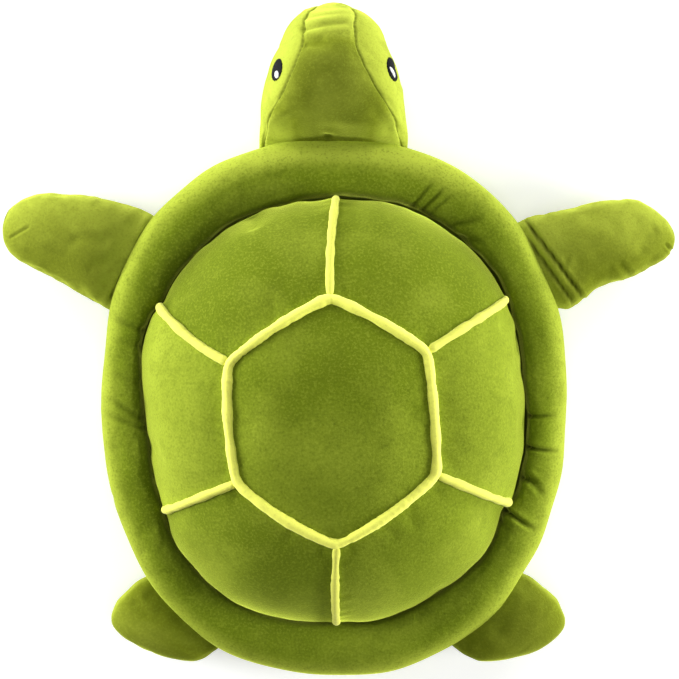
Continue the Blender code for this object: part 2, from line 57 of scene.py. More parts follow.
# Sizes of the solids, repeated here because this script can't read their source
SHELL_HALF_WIDTH = 0.156
SHELL_HALF_LENGTH = 0.181
FRONT_FULLNESS = 2.2
REAR_FULLNESS = 2.3
EGG_SHARE = 0.04
RIM_WIDTH = 0.038
RIM_HEIGHT = 0.036
RIM_MIDDLE = 0.02
CREASE_SHARE = 0.84
DOME_FOOT = 0.034
DOME_RISE = 0.088
DOME_FULLNESS = 2.2
DOME_SIDE_POWER = 0.55
PANEL_PUFF = 0.004
SPOKE_TURNS_DEG = (89.6, 154.5, 203, 270.5, 339.5, 387.5, 449.6)
CORNER_SHARES = (
    (-0.018, 0.52), (-0.528, 0.245), (-0.487, -0.258), (0.015, -0.52), (0.518, -0.224), (0.468, 0.293),
)
SECTOR_NAMES = ("front_left", "left", "rear_left", "rear_right", "right", "front_right")
SPOKE_NAMES = ("front", "front_left", "rear_left", "rear", "rear_right", "front_right")
HEAD_LENGTH = 0.089
HEAD_HALF_WIDTH = 0.05
HEAD_TOP = 0.05
HEAD_DEPTH = 0.022
NOSE_LIFT = 0.012
NECK_SLOPE = 2.4
CROWN_SHARES = (
    (0, 0.5), (0.1, 0.72), (0.22, 0.92), (0.36, 1), (0.55, 0.95), (0.75, 0.76), (0.9, 0.5), (1, 0),
)
JAW_SHARES = ((0, 0.5), (0.15, 0.85), (0.35, 1), (0.6, 0.95), (0.8, 0.75), (0.93, 0.48), (1, 0))
CHIN_LEAN_DEG = -48
ROOT_GAP = 0.0005
ROOT_RADIUS = 0.003
LIMB_SLOPE = 0.72
LIMB_DROP = 0.003
LIMB_THICKNESS = 0.03
SWELL_SHARES = (
    (0, 0.45), (0.2, 0.82), (0.38, 0.97), (0.56, 1), (0.74, 0.9), (0.88, 0.68), (0.96, 0.42), (1, 0),
)
FLIPPER_TURNS_DEG = {"left": 31.4, "right": 30.4}
FOOT_WIDTH = 0.072
FOOT_TURNS_DEG = {"left": 50, "right": 49}
FOOT_LENGTHS = {"left": 0.037, "right": 0.043}
FOOT_FRONT_SHARES = ((0, 0.53), (0.16, 0.56), (0.54, 0.58), (0.8, 0.53), (0.95, 0.45), (1, 0.34))
FOOT_REAR_SHARES = (
    (0, -0.45), (0.2, -0.42), (0.4, -0.37), (0.64, -0.22), (0.85, 0), (0.95, 0.17), (1, 0.34),
)

# Camera: above the head's side of the shell, looking down and a little back
CAMERA_PLACE = (0.0037, 0.1293, 1.4)
CAMERA_LEAN_DEG = -3.43
CAMERA_LENS = 108.8

# How the sewing departs from the plain solids, in metres
HEXAGON_BOWS = (0.0026, 0.0024, 0.003, 0.0026, 0.001, 0.002)
SPOKE_WIDTHS = (0.88, 1, 0.95, 0.88, 0.95, 0.95)
SPOKE_BOWS = ((-0.0015, 0), (0.0015, -0.0038), (0, 0.001), (-0.001, 0), (0, 0.0005), (0, 0.001))
# How far in from the shell's outline the crease lies, in millimetres, at turns in degrees
CREASE_INSETS_MM = (
    (0, 29.5), (15, 32), (33, 32.4), (45, 35.5), (57, 37.6), (68, 38.2), (80, 39.6), (92, 41), (112, 41.5),
    (123, 40), (135, 38), (146, 35.2), (152.5, 33.6), (158, 29.2), (165, 28), (173, 29.6), (187, 33),
    (195, 32), (203, 33.4), (211, 31.6), (225, 34.2), (237, 35.8), (249, 38), (263, 39.8), (271, 40.4),
    (280, 39.4), (292, 40), (303, 39.2), (315, 35), (326, 32.2), (336, 33.4), (342, 30), (352, 28.6),
    (360, 29.5),
)
CREASE_BULGE = 0.001
GROOVE = 0.0029
RIM_INNER_POWER = 0.62
FOOT_TUCK = 0.0015
FOOT_DROP = 0.015
PAD_DEPTH = 0.012
FILL_DEPTH = 0.014
SEAM_SEAT = 0.0004
ROOT_TUCK = 0.007
ROOT_HALF_HEIGHT = 0.0062
BELLY_EDGE_INSET = 0.0295
BELLY_CURL = 0.0105
# Each flipper's length, where its tip starts and how far across it ends; then both edges: how far out
# and across, in millimetres
FLIPPERS = {
    "left": (
        (0.0872, 0.74, -0.008),
        ((0, 34.6), (7, 35), (37, 29.4), (58, 21.7), (73.3, 15.3)),
        ((0, -36.3), (20, -35.4), (43, -34.4), (68, -33.6)),
    ),
    "right": (
        (0.0898, 0.78, -0.017),
        ((0, 32.6), (7, 31.9), (36, 26.2), (63, 18.6), (77, 12.8)),
        ((0, -32.6), (7, -35.4), (15.5, -34.7), (30, -31), (55, -33.3), (77, -32.4)),
    ),
}
# Insets and heights of the fill's foot, from the dome down to the belly
FILL_FOOT = ((0.042, 0.022), (0.042, 0.008), (0.046, 0.004))

# How far the cloth is drawn down at a seam: the reach of the dip and of the slope beside it
SEAM_DIP = 0.0036
SEAM_SLOPE = 0.012
SEAM_DARK_REACH = 0.0022
HEAD_SEAM_DEPTH = 0.0013
LIMB_SEAM_DEPTH = 0.0006
# Puckers: how far they reach from the seam, and their size
PUCKERS = (0.009, 0.005)
CREASE_PUCKERS = (0.011, 0.009)
RIM_PUCKERS = (0.012, 0.0075)
BELLY_PUCKERS = (0.012, 0.006)
LIMB_PUCKERS = (0.008, 0.0045)
# The fill's lumps
DOME_LUMP = 0.034
RIM_LUMP = 0.03
LIMB_LUMP = 0.02
# Leans round the rim's tube, from its outermost line over the top: what is sewn down, the seams with the
# dome and the belly, and the middle of the painted shade in the crease
RIM_SEWN_DEG = (128, 245)
DOME_SEAM_DEG = 165
BELLY_SEAM_DEG = 241
CREASE_DARK_DEG = 174

# Fineness
SIM_FRAMES = 20
SIM_SECTOR_STEPS = 18
SIM_CENTRE_ROWS = 14
SIM_SIDE_ROWS = 22
PAD_STEPS = 84
PAD_ROWS = 60
CENTRE_STEPS = 52
CENTRE_ROWS = 44
RIM_SIM_SHAPE = (260, 26)
RIM_SHAPE = (1100, 84)
BELLY_SHAPE = (40, 320)
LIMB_SIM_SHAPE = (20, 36)
LIMB_SHAPE = (84, 150)
HEAD_SIM_SHAPE = (24, 48)
HEAD_SHAPE = (110, 216)
EYE_SHAPE = (22, 96)

QUARTER = math.pi / 2
ROUND = (False, True)
TUBE = (True, True)
DOME_RADIUS = 0.12
HEXAGON_RADIUS = 0.065
DOME_HALF = np.array([SHELL_HALF_WIDTH, SHELL_HALF_LENGTH]) - RIM_WIDTH * CREASE_SHARE


# Grids of points, which every padded piece is made from


def ramp(value, start, end):
    """A smooth step from 0 to 1."""
    t = np.clip((value - start) / (end - start), 0, 1)
    return t * t * (3 - 2 * t)


def bell(value):
    """1 at nothing, falling smoothly away on both sides."""
    return np.exp(-(value**2))


def eased(steps):
    """Places from 0 to 1, which crowd together towards 1."""
    return np.sin(QUARTER * np.arange(steps + 1) / steps)


def unit(vectors):
    """The same directions, each 1 long."""
    return vectors / np.maximum(np.linalg.norm(vectors, axis=-1, keepdims=True), 1e-12)


def steps_along(grid, axis):
    """Distances between neighbouring points of a grid."""
    return np.linalg.norm(np.diff(grid, axis=axis), axis=-1)


def smooth_table(table, place):
    """The values of a table of (place, value) pairs on a smooth line that doesn't overshoot."""
    at, values = np.array(table, float).T
    slopes = np.diff(values) / np.diff(at)
    product = slopes[:-1] * slopes[1:]
    turns = product <= 0
    inner = np.where(turns, 0, 2 * product / np.where(turns, 1, slopes[:-1] + slopes[1:]))
    lean = np.concatenate([slopes[:1], inner, slopes[-1:]])
    place = np.clip(place, at[0], at[-1])
    i = np.clip(np.searchsorted(at, place) - 1, 0, len(slopes) - 1)
    step = at[i + 1] - at[i]
    t = (place - at[i]) / step
    rise = t * t * (3 - 2 * t)
    start = t * (1 - t) ** 2 * step * lean[i]
    end = t * t * (t - 1) * step * lean[i + 1]
    return values[i] * (1 - rise) + values[i + 1] * rise + start + end


def cubic_weights(t):
    """Catmull-Rom weights of the four samples about a place."""
    return (
        0.5 * t * (t * (2 - t) - 1),
        0.5 * (t * t * (3 * t - 5) + 2),
        0.5 * t * (t * (4 - 3 * t) + 1),
        0.5 * t * t * (t - 1),
    )


def resample(field, row, column, wrap):
    """Reads a coarse grid of vectors between its points. wrap says which ways it closes on itself."""
    picks, weights = [], []
    for axis, place in enumerate((row, column)):
        first, size = np.floor(place).astype(int), field.shape[axis]
        near = [first + shift for shift in (-1, 0, 1, 2)]
        picks.append([i % size if wrap[axis] else np.clip(i, 0, size - 1) for i in near])
        weights.append(cubic_weights(place - first))
    result = np.zeros((*row.shape, field.shape[-1]))
    for pick, weight in zip(picks[0], weights[0]):
        for other, other_weight in zip(picks[1], weights[1]):
            result += (weight * other_weight)[..., None] * field[pick, other]
    return result


def lumps(points, size, seed, waves=28):
    """A smooth random field over points, about 1 high, with bumps of about this size."""
    draw = np.random.default_rng(seed)
    ways = unit(draw.normal(size=(waves, 3)))
    ways *= (math.pi / size * draw.uniform(0.6, 1.4, waves))[:, None]
    phases = draw.uniform(0, 2 * math.pi, waves)
    return sum(np.sin(points @ way + phase) for way, phase in zip(ways, phases)) * math.sqrt(2 / waves)


def puckers(along, away, reach, size, seed):
    """Small folds square to a seam, which die out this far away from it."""
    return lumps(np.stack([along, away * 0.25, 0 * along], axis=-1), size, seed, 20) * bell(away / reach)


def grid_normals(grid, wrap):
    """Unit normals of a grid, which point to the side that rows cross columns point to."""
    ways = []
    for axis in (0, 1):
        if wrap[axis]:
            ways.append(np.roll(grid, -1, axis) - np.roll(grid, 1, axis))
        else:
            ways.append(np.gradient(grid, axis=axis))
    return unit(np.cross(*ways))


def dress(grid, wrap, height):
    """Moves a grid's points along its normals."""
    return grid + grid_normals(grid, wrap) * height[..., None]


def grid_quads(index):
    """The corners of each face of a grid of point numbers."""
    corners = index[:-1, :-1], index[1:, :-1], index[1:, 1:], index[:-1, 1:]
    return np.stack(corners, axis=-1).reshape(-1, 4)


def skin(grid, wrap, first_pole=False, last_pole=False):
    """The points and faces of a grid, and its points' numbers. A pole is a row whose points are all one."""
    index = np.arange(grid[..., 0].size).reshape(grid.shape[:2])
    keep = np.ones(index.shape, bool)
    for pole, row in ((first_pole, 0), (last_pole, -1)):
        if pole:
            keep[row, 1:] = False
            index[row] = index[row, 0]
    index = (np.cumsum(keep) - 1)[index]
    faces = []
    for quad in grid_quads(np.pad(index, [(0, int(closes)) for closes in wrap], mode="wrap")).tolist():
        corners = [c for n, c in enumerate(quad) if c != quad[n - 1]]
        if len(corners) > 2:
            faces.append(corners)
    return grid[keep], faces, index


def closed_skin(grid):
    """The points and faces of a grid that closes on itself across, with a pole at each end."""
    return skin(grid, ROUND, True, True)[:2]


def kept_marks(seam, nap):
    """Marks for the points that closed_skin keeps."""
    spare = seam.shape[1] - 1
    return {"seam": seam.ravel()[spare:-spare], "nap": nap.ravel()[spare:-spare]}


def sew_shut(outer, inner):
    """The points and faces of a padded piece between two open grids, closed by a wall along their border."""
    top = np.arange(outer[..., 0].size).reshape(outer.shape[:2])
    under = top + top.size
    edge, low_edge = (np.concatenate([g[0], g[1:, -1], g[-1, -2::-1], g[-2:0:-1, 0]]) for g in (top, under))
    wall = np.stack([edge, np.roll(edge, -1), np.roll(low_edge, -1), low_edge], axis=1)
    faces = np.concatenate([grid_quads(top), grid_quads(under)[:, ::-1], wall])
    return np.concatenate([outer.reshape(-1, 3), inner.reshape(-1, 3)]), faces.tolist()


def only(obj):
    """Selects this object alone and makes it active."""
    bpy.ops.object.select_all(action="DESELECT")
    obj.select_set(True)
    bpy.context.view_layer.objects.active = obj


def new_object(name, points, faces, marks=None, turn_out=True):
    """A smooth mesh object with no place, turn or scale of its own, whose faces point outwards."""
    mesh = bpy.data.meshes.new(name)
    mesh.from_pydata([tuple(p) for p in points], [], faces)
    mesh.update()
    for label, values in (marks or {}).items():
        mesh.attributes.new(label, "FLOAT", "POINT").data.foreach_set("value", values.astype(np.float32))
    obj = bpy.data.objects.new(name, mesh)
    bpy.context.collection.objects.link(obj)
    if turn_out:
        only(obj)
        bpy.ops.object.mode_set(mode="EDIT")
        bpy.ops.mesh.select_all(action="SELECT")
        bpy.ops.mesh.normals_make_consistent(inside=False)
        bpy.ops.object.mode_set(mode="OBJECT")
    mesh.shade_smooth()
    return obj


CLOTH = {
    "quality": 6,
    "mass": 0.2,
    "tension_stiffness": 20,
    "compression_stiffness": 20,
    "shear_stiffness": 8,
    "bending_stiffness": 0.6,
    "air_damping": 2,
    "use_pressure": True,
    "uniform_pressure_force": 4,
    "vertex_group_mass": "seams",
}


def swell(grid, wrap, pinned, growth, cap, poles=(False, False)):
    """Blows cloth out between its seams with Blender's cloth solver, and gives how far each point moved.

    The cloth is cut larger than the form by the growth, so it gathers where it is sewn down.
    """
    points, faces, index = skin(grid, wrap, *poles)
    obj = new_object("cloth_trial", points, faces, turn_out=False)
    obj.vertex_groups.new(name="seams").add(np.unique(index[pinned]).tolist(), 1.0, "REPLACE")
    cloth = obj.modifiers.new("Cloth", "CLOTH")
    for name, value in {**CLOTH, "shrink_min": -growth, "shrink_max": -growth}.items():
        setattr(cloth.settings, name, value)
    cloth.settings.effector_weights.gravity = 0
    cloth.collision_settings.use_collision = False
    cloth.point_cache.frame_start = 1
    cloth.point_cache.frame_end = SIM_FRAMES
    for number in range(1, SIM_FRAMES + 1):
        bpy.context.scene.frame_set(number)
    solved = obj.evaluated_get(bpy.context.evaluated_depsgraph_get()).to_mesh()
    moved = np.empty(points.size)
    solved.vertices.foreach_get("co", moved)
    offset = moved.reshape(-1, 3) - points
    bpy.context.scene.frame_set(1)
    bpy.data.objects.remove(obj)
    size = np.linalg.norm(offset, axis=1, keepdims=True)
    offset *= cap * np.tanh(size / cap) / np.maximum(size, 1e-9)
    return offset[index]


# The shell


def oval(turn, inset, height):
    """Points inside the shell's outline by the inset, at this height."""
    cosine, sine = np.cos(turn), np.sin(turn)
    power = 2 / np.where(sine > 0, FRONT_FULLNESS, REAR_FULLNESS)
    width = np.sign(cosine) * np.abs(cosine) ** power * (1 + EGG_SHARE * sine)
    length = np.sign(sine) * np.abs(sine) ** power
    x, y = width * (SHELL_HALF_WIDTH - inset), length * (SHELL_HALF_LENGTH - inset)
    return np.stack([x, y, np.broadcast_to(height, x.shape)], axis=-1)


def crease_inset(turn):
    """How far in the rim meets the panels, which stand out over it between the spokes."""
    return smooth_table(CREASE_INSETS_MM, np.degrees(np.mod(turn, 2 * math.pi))) / 1000


def spoke_turn(sector, across):
    turns = np.radians(SPOKE_TURNS_DEG)
    return turns[sector] * (1 - across) + turns[sector + 1] * across


def dome_grid(outs, steps):
    """Sectors, places across them and places out, for a grid over all six sectors."""
    column, shape = np.arange(6 * steps), (len(outs), 6 * steps)
    fields = column // steps, column % steps / steps, outs[:, None]
    return [np.broadcast_to(field, shape) for field in fields]


def dome_plan(sector, across, out):
    """Plan places on the dome, and the hexagon's edge and the crease in line with them.

    Out is 0 in the middle, 1 on the hexagon and 2 at the crease.
    """
    corners, bows = np.array(CORNER_SHARES) * DOME_HALF, np.array(SPOKE_BOWS)
    after, turn = (sector + 1) % 6, spoke_turn(sector, across)
    bow = np.array(HEXAGON_BOWS)[sector] * np.sin(math.pi * across)
    bulge = 1 + CREASE_BULGE / DOME_RADIUS * np.sin(math.pi * across) ** 0.7
    across = across[..., None]
    start = corners[sector]
    side = corners[after] - start
    normal = unit(np.stack([side[..., 1], -side[..., 0]], axis=-1))
    edge = start + side * across + normal * bow[..., None]
    crease = oval(turn, crease_inset(turn), 0.0)[..., :2] * bulge[..., None]
    drift = bows[sector] * (1 - across) + bows[after] * across
    share = np.clip(out - 1, 0, 1)[..., None]
    beside = edge * (1 - share) + crease * share + drift * np.sin(math.pi * share)
    return np.where((out <= 1)[..., None], edge * out[..., None], beside), edge, crease


def upward(points):
    """The way out of the dome at its points."""
    return unit(points - (0, 0, DOME_FOOT))


def dome_surface(sector, across, out, depth=0.0):
    """Points of the dome this far under its surface. Past the crease it turns down and in."""
    place, edge, _ = dome_plan(sector, across, np.minimum(out, 2))
    edge_reach = (np.abs(edge / DOME_HALF) ** DOME_FULLNESS).sum(-1) ** (1 / DOME_FULLNESS)
    side, below = np.clip(out - 1, 0, 1), np.clip(out - 2, 0, 1)
    reach = np.where(out <= 1, edge_reach * out, edge_reach * (1 - side) + side)
    rise = np.maximum(1 - reach**DOME_FULLNESS, 0) ** DOME_SIDE_POWER
    height = DOME_FOOT + (DOME_RISE - depth) * rise - FOOT_DROP * below
    tuck = FOOT_TUCK * below**2 / np.maximum(np.linalg.norm(place, axis=-1), 0.02)
    plan = place * (1 - depth / DOME_RADIUS) * (1 - tuck)[..., None]
    points = np.concatenate([plan, height[..., None]], axis=-1)
    puff = np.where(out <= 1, 1 - out**2, np.sin(math.pi * across) * np.sin(math.pi * side))
    return points + upward(points) * (PANEL_PUFF * puff)[..., None]


def dome_trial(look):
    """How the dome's cloth swells between its seams, on a coarse grid of all six sectors."""
    outs = np.append(np.arange(SIM_CENTRE_ROWS) / SIM_CENTRE_ROWS, 1 + eased(SIM_SIDE_ROWS))
    sector, across, out = dome_grid(outs, SIM_SECTOR_STEPS)
    pinned = (out == 1) | (out >= 2) | ((across == 0) & (out >= 1))
    grid = dome_surface(sector, across, out)
    trial = swell(grid, ROUND, pinned, look.cloth_growth, look.puff_limit, (True, False))
    # The solver wrinkles the cloth like a star at the pole, so it is evened out there
    centre = trial[: SIM_CENTRE_ROWS + 1]
    smooth = centre.mean(1, keepdims=True) * (0, 0, 1)
    smooth[:2] = smooth[2]
    keep = ramp(outs[: SIM_CENTRE_ROWS + 1], 0.35, 0.9)[:, None, None]
    centre[:] = centre * keep + smooth * (1 - keep)
    return trial


def dome_offset(trial, sector, across, out):
    """The swelling at any place on the dome, from the coarse grid."""
    side = np.arcsin(np.clip(out - 1, 0, 1)) / QUARTER * SIM_SIDE_ROWS
    row = np.where(out <= 1, out * SIM_CENTRE_ROWS, SIM_CENTRE_ROWS + side)
    return resample(trial, row, (sector + across) * SIM_SECTOR_STEPS, ROUND)


def dome_cloth(trial, *place):
    """Points of the dome's cloth, swollen between its seams."""
    return dome_surface(*place) + dome_offset(trial, *place)


def seam_fall(away, depth):
    """How far cloth is drawn down near a seam."""
    return -depth * (0.6 * bell(away / SEAM_DIP) + 0.4 * np.exp(-away / SEAM_SLOPE))


def dome_relief(base, away, look, seed):
    """Seams and lumps of the dome's cloth, as heights."""
    bumps = look.lump_height * lumps(base, DOME_LUMP, seed) * np.clip(away / 0.015, 0, 1)
    return seam_fall(away, look.seam_depth) + bumps


# Painted light and shade on each side panel: how much lighter or darker it is painted at the hexagon and at
# the crease
PANEL_PAINTED_SHADING = ((-0.25, -0.6), (0.16, 0.38), (-0.3, -0.3), (0.06, 0.06), (0.14, 0.2), (-0.1, -0.45))
# How dark the painted shade in the crease is over each side panel
CREASE_DARK = (0.7, 0.15, 0.6, 0.5, 0.2, 0.7)


def side_pad(sector, trial, look):
    """One side panel of the shell: its cloth and the fill under it."""
    rows = np.append(eased(PAD_ROWS), 1 + np.arange(1, 7) / 6)
    across = np.broadcast_to(np.arange(PAD_STEPS + 1) / PAD_STEPS, (len(rows), PAD_STEPS + 1))
    out = np.broadcast_to(1 + rows[:, None], across.shape)
    base = dome_surface(sector, across, out)
    wide = steps_along(base, 1).sum(1)[:, None]
    inset = SEAM_SEAT / wide
    across = inset + across * (1 - 2 * inset)
    tall = steps_along(base[: PAD_ROWS + 1], 0).sum(0)[None]
    out = np.where(out < 2, np.maximum(out, 1 + SEAM_SEAT / tall * (2 - out)), out)
    base = dome_cloth(trial, sector, across, out)
    rise = np.cumsum(steps_along(base, 0), axis=0)
    hexagon_away = np.concatenate([0 * rise[:1], rise])
    crease_away = np.abs(tall - hexagon_away)
    left_away, right_away = across * wide, (1 - across) * wide
    away = np.minimum(np.minimum(left_away, right_away), hexagon_away)
    gather = puckers(hexagon_away, left_away, *PUCKERS, 21 + sector)
    gather += puckers(hexagon_away, right_away, *PUCKERS, 31 + sector)
    gather += puckers(left_away, hexagon_away, *PUCKERS, 41 + sector)
    gather += 1.6 * puckers(left_away, crease_away, *CREASE_PUCKERS, 51 + sector)
    height = dome_relief(base, away, look, 11) + look.pucker_height * gather
    outer = dress(base, (False, False), -height)
    inner = dome_surface(sector, across, out, PAD_DEPTH)
    crease = dome_plan(sector, across, np.minimum(out, 2))[2]
    crease_plan = np.linalg.norm(crease - base[..., :2], axis=-1)
    # Painted shade in the crease and below it, and darker lines along the seams
    seam = np.maximum(0.7 * bell(away / SEAM_DARK_REACH), CREASE_DARK[sector] * bell(crease_plan / 0.0048))
    seam = np.where(out >= 2, 1, np.maximum(seam, 0.95 * bell(crease_away / 0.0085)))
    start, end = PANEL_PAINTED_SHADING[sector]
    nap = start + (end - start) * ramp(out, 1.05, 1.95)
    return *sew_shut(outer, inner), {"seam": np.tile(seam.ravel(), 2), "nap": np.tile(nap.ravel(), 2)}


def centre_pad(trial, look):
    """The six-sided middle panel."""
    outs = np.arange(CENTRE_ROWS + 1) / CENTRE_ROWS * (1 - SEAM_SEAT / HEXAGON_RADIUS)
    sector, across, out = dome_grid(outs, CENTRE_STEPS)
    base = dome_cloth(trial, sector, across, out)
    steps = steps_along(base, 0)
    away = np.concatenate([np.cumsum(steps[::-1], axis=0)[::-1], 0 * steps[:1]])
    along = np.cumsum(np.linalg.norm(base[-1] - np.roll(base[-1], 1, axis=0), axis=-1))
    gather = puckers(np.broadcast_to(along, away.shape), away, *PUCKERS, 61)
    gather = gather * np.clip(out * 2 - 0.6, 0, 1)
    height = dome_relief(base, away, look, 12) + look.pucker_height * gather
    normals = grid_normals(base, ROUND)
    normals[0] = (0, 0, -1)
    outer = base - normals * height[..., None]
    inner = dome_surface(sector, across, out, PAD_DEPTH)
    seam = 0.7 * bell(away / SEAM_DARK_REACH)
    # Painted shade: the middle panel is painted a little lighter at the rear and darker towards the head's
    # end
    nap = 0.1 - 0.35 * ramp(base[..., 1], -0.02, 0.07)
    marks = kept_marks(*(np.concatenate([field, 0 * field]) for field in (seam, nap)))
    return *closed_skin(np.concatenate([outer, inner[::-1]])), marks


def dome_fill():
    """The loose fill under the panels, down to the belly."""
    sector, across, out = dome_grid(np.append(np.arange(9) / 8, 1 + eased(14)[1:]), SIM_SECTOR_STEPS)
    grid = dome_surface(sector, across, out, FILL_DEPTH)
    grid = dress(grid, ROUND, 0.0006 * lumps(grid, 0.009, 5))
    turn = spoke_turn(sector[0], across[0])
    low = [oval(turn, *place) for place in FILL_FOOT]
    foot = np.stack([grid[-1] * 0.4 + low[0] * 0.6, *low, low[2] * (0.5, 0.5, 1), low[2] * (0, 0, 1)])
    grid[0] = grid[0].mean(0)
    return closed_skin(np.concatenate([grid, foot]))


def crease_place(points, start, end, half_width):
    """How far along a crease points lie, from 0 to 1, and how many of its half widths away from it.

    The crease is given in plan, in millimetres.
    """
    start, end = np.array(start) / 1000, np.array(end) / 1000
    way = end - start
    share = (points[..., :2] - start) @ way / (way @ way)
    near = start + np.clip(share, 0, 1)[..., None] * way
    return share, np.linalg.norm(points[..., :2] - near, axis=-1) / (half_width / 1000)


# Folds in the rim that the photograph shows, in millimetres: start and end in plan, depth, half width
RIM_FOLDS = (
    ((53, 136), (66, 152), 1.6, 2), ((59, 133), (73, 147.5), 2.1, 2.1),
    ((64.5, 131), (78, 143.5), 1.4, 1.9), ((80, 123.5), (96, 127.5), 2, 2.4),
    ((84, 115), (98, 111.5), 2, 2.4), ((125, -4), (147.5, -3.4), 3.4, 1.3),
    ((124, -23.8), (149, -27.6), 4.2, 1.3), ((120, -43.5), (133.5, -48), 3.6, 1.6),
    ((121.5, -38.5), (137.5, -50), 2, 1.8), ((130, -45.5), (140, -57), 1.8, 2),
    ((111, -65), (133, -79.5), 4, 1.5), ((108, -70), (120, -83), 1, 2),
    ((-128.5, -5.5), (-149, 7.2), 2.2, 2.2), ((-127, -12), (-150, -4), 2, 2),
    ((-126, 53), (-148, 61.8), 2, 2.4), ((-129, 43), (-147, 47), 1.2, 2.4), ((-129, 17), (-150, 26), 1, 3),
)


def rim_fold(points, start, end, depth, half_width):
    """A crease in the rim, with the cloth standing up a little on both sides of it."""
    share, away = crease_place(points, start, end, half_width)
    fade = np.clip((1.15 - np.clip(share, 0, 1)) * 2.2, 0, 1)
    return depth / 1000 * fade * (0.2 * bell(away - 2.2) - bell(away))


def rim_surface(turn, lean):
    """The rim's tube. Above, it stands full and upright against the shell's panels."""
    half = RIM_WIDTH / 2
    cosine, sine = np.cos(lean), np.sin(lean)
    inside = (cosine < 0) & (sine > 0)
    under = ramp(-sine * 1.2, 0, 1)
    beside = crease_inset(turn) - GROOVE - half
    below = np.maximum(half, beside + GROOVE + 0.004)
    reach = np.where(inside, np.abs(cosine) ** RIM_INNER_POWER, np.abs(cosine))
    rise = np.where(inside, np.abs(sine) ** RIM_INNER_POWER, sine)
    inset = half + np.where(cosine > 0, -half, beside * (1 - under) + below * under) * reach
    return oval(turn, inset, RIM_MIDDLE + RIM_HEIGHT / 2 * rise)


def rim_grid(shape):
    turn, lean = (2 * math.pi * np.arange(count) / count for count in shape)
    return np.broadcast_arrays(turn[:, None], lean)


def rim_piece(look):
    """The rim's tube of cloth with its fill."""
    turn, lean = rim_grid(RIM_SIM_SHAPE)
    coarse = rim_surface(turn, lean)
    pinned = (np.degrees(lean) > RIM_SEWN_DEG[0]) & (np.degrees(lean) < RIM_SEWN_DEG[1])
    shaken = coarse + 0.0003 * lumps(coarse, 0.012, 71)[..., None]
    trial = swell(shaken, TUBE, pinned, look.rim_growth, look.rim_limit)
    turn, lean = rim_grid(RIM_SHAPE)
    row, column = (at / (2 * math.pi) * size for at, size in zip((turn, lean), RIM_SIM_SHAPE))
    base = rim_surface(turn, lean) + resample(trial, row, column, TUBE)
    base[..., 2] = np.maximum(base[..., 2], 0.0022)
    height = look.lump_height * lumps(base, RIM_LUMP, 72)
    crease_away = np.abs(lean - math.radians(DOME_SEAM_DEG)) * 0.0175
    height += 2 * look.pucker_height * puckers(turn * 0.135, crease_away, *RIM_PUCKERS, 73)
    upper = np.clip(np.sin(lean) * 3, 0, 1)
    # Painted shade along the folds
    darkened = np.zeros_like(lean)
    for fold in RIM_FOLDS:
        crease = upper * rim_fold(base, *fold)
        height += look.fold_depth * 0.75 * crease
        darkened = np.maximum(darkened, -crease / 0.0045)
    height += seam_fall(np.abs(lean - math.radians(BELLY_SEAM_DEG)) * 0.0185, look.seam_depth)
    # The height is turned round if the tube's normals point in
    grid = dress(base, TUBE, height * (1 if grid_normals(base, TUBE)[0, 0, 0] > 0 else -1))
    # The seam mark carries the painted shade of the folds and of the crease between the rim and the dome
    seam = np.maximum(darkened, bell((np.degrees(lean) - CREASE_DARK_DEG) / 22))
    # Painted light and shade: the rim's outer side is painted lighter and its inner half darker, most on the
    # left, with a lighter band at the front behind the head
    shaded = np.where(np.cos(turn) < 0, 1.0, 0.15) * np.abs(np.cos(turn)) + 0.05
    nap = 0.62 * ramp(np.cos(lean), 0.2, 0.95) - shaded * ramp(-np.cos(lean), -0.35, 0.6)
    nap += 0.9 * ramp(np.cos(lean), -0.2, 0.45) * np.maximum(np.sin(turn), 0) ** 8
    return *skin(grid, TUBE)[:2], {"seam": seam.ravel(), "nap": nap.ravel()}


def belly_piece(look):
    """The flat underside, drawn up to the rim's seam along its edge."""
    rows, columns = BELLY_SHAPE
    part, turn = np.arange(rows + 1)[:, None] / rows, 2 * math.pi * np.arange(columns) / columns
    part, turn = np.broadcast_arrays(part, turn)
    half = np.array([SHELL_HALF_WIDTH, SHELL_HALF_LENGTH])
    place = oval(turn, 0.0, 0.0)[..., :2] / half * (half - BELLY_EDGE_INSET) * part[..., None]
    away = (1 - part) * (SHELL_HALF_WIDTH - BELLY_EDGE_INSET)
    rise = 0.0048 * np.clip(1 - away / BELLY_CURL, 0, 1) ** 2
    gather = puckers(turn * 0.14, away, *BELLY_PUCKERS, 81)
    rise = rise + np.abs(look.pucker_height * gather) * (away < 0.02)
    outer = np.concatenate([place, rise[..., None]], axis=-1)
    return closed_skin(np.concatenate([outer, (outer * (0.995, 0.995, 1) + (0, 0, 0.002))[::-1]]))


# Piping


def piping_path(sector, across, out, trial, ride):
    """Where a cord lies on the dome. It sinks into the seam where it nears the crease."""
    base = dome_cloth(trial, sector, across, out)
    return base + upward(base) * ride * (0.45 + 0.55 * ramp(base[..., 2:], 0.034, 0.05))


def ease_corners(path, closed, passes):
    for _ in range(passes):
        if closed:
            path = (np.roll(path, 1, axis=0) + path * 2 + np.roll(path, -1, axis=0)) / 4
        else:
            path[1:-1] = (path[:-2] + path[1:-1] * 2 + path[2:]) / 4
    return path


def cord_mesh(name, path, radius, closed):
    """A sewn cord along a path: a curve with a round bevel, made a mesh."""
    curve = bpy.data.curves.new(name, "CURVE")
    curve.dimensions = "3D"
    curve.bevel_depth = 1.0
    curve.bevel_resolution = 5
    curve.use_fill_caps = True
    spline = curve.splines.new("POLY")
    spline.points.add(len(path) - 1)
    spline.points.foreach_set("co", np.column_stack([path, np.ones(len(path))]).ravel())
    spline.points.foreach_set("radius", radius)
    spline.use_cyclic_u = closed
    obj = bpy.data.objects.new(name, curve)
    bpy.context.collection.objects.link(obj)
    only(obj)
    bpy.ops.object.convert(target="MESH")
    obj = bpy.context.view_layer.objects.active
    obj.data.shade_smooth()
    return obj


# Head and limbs


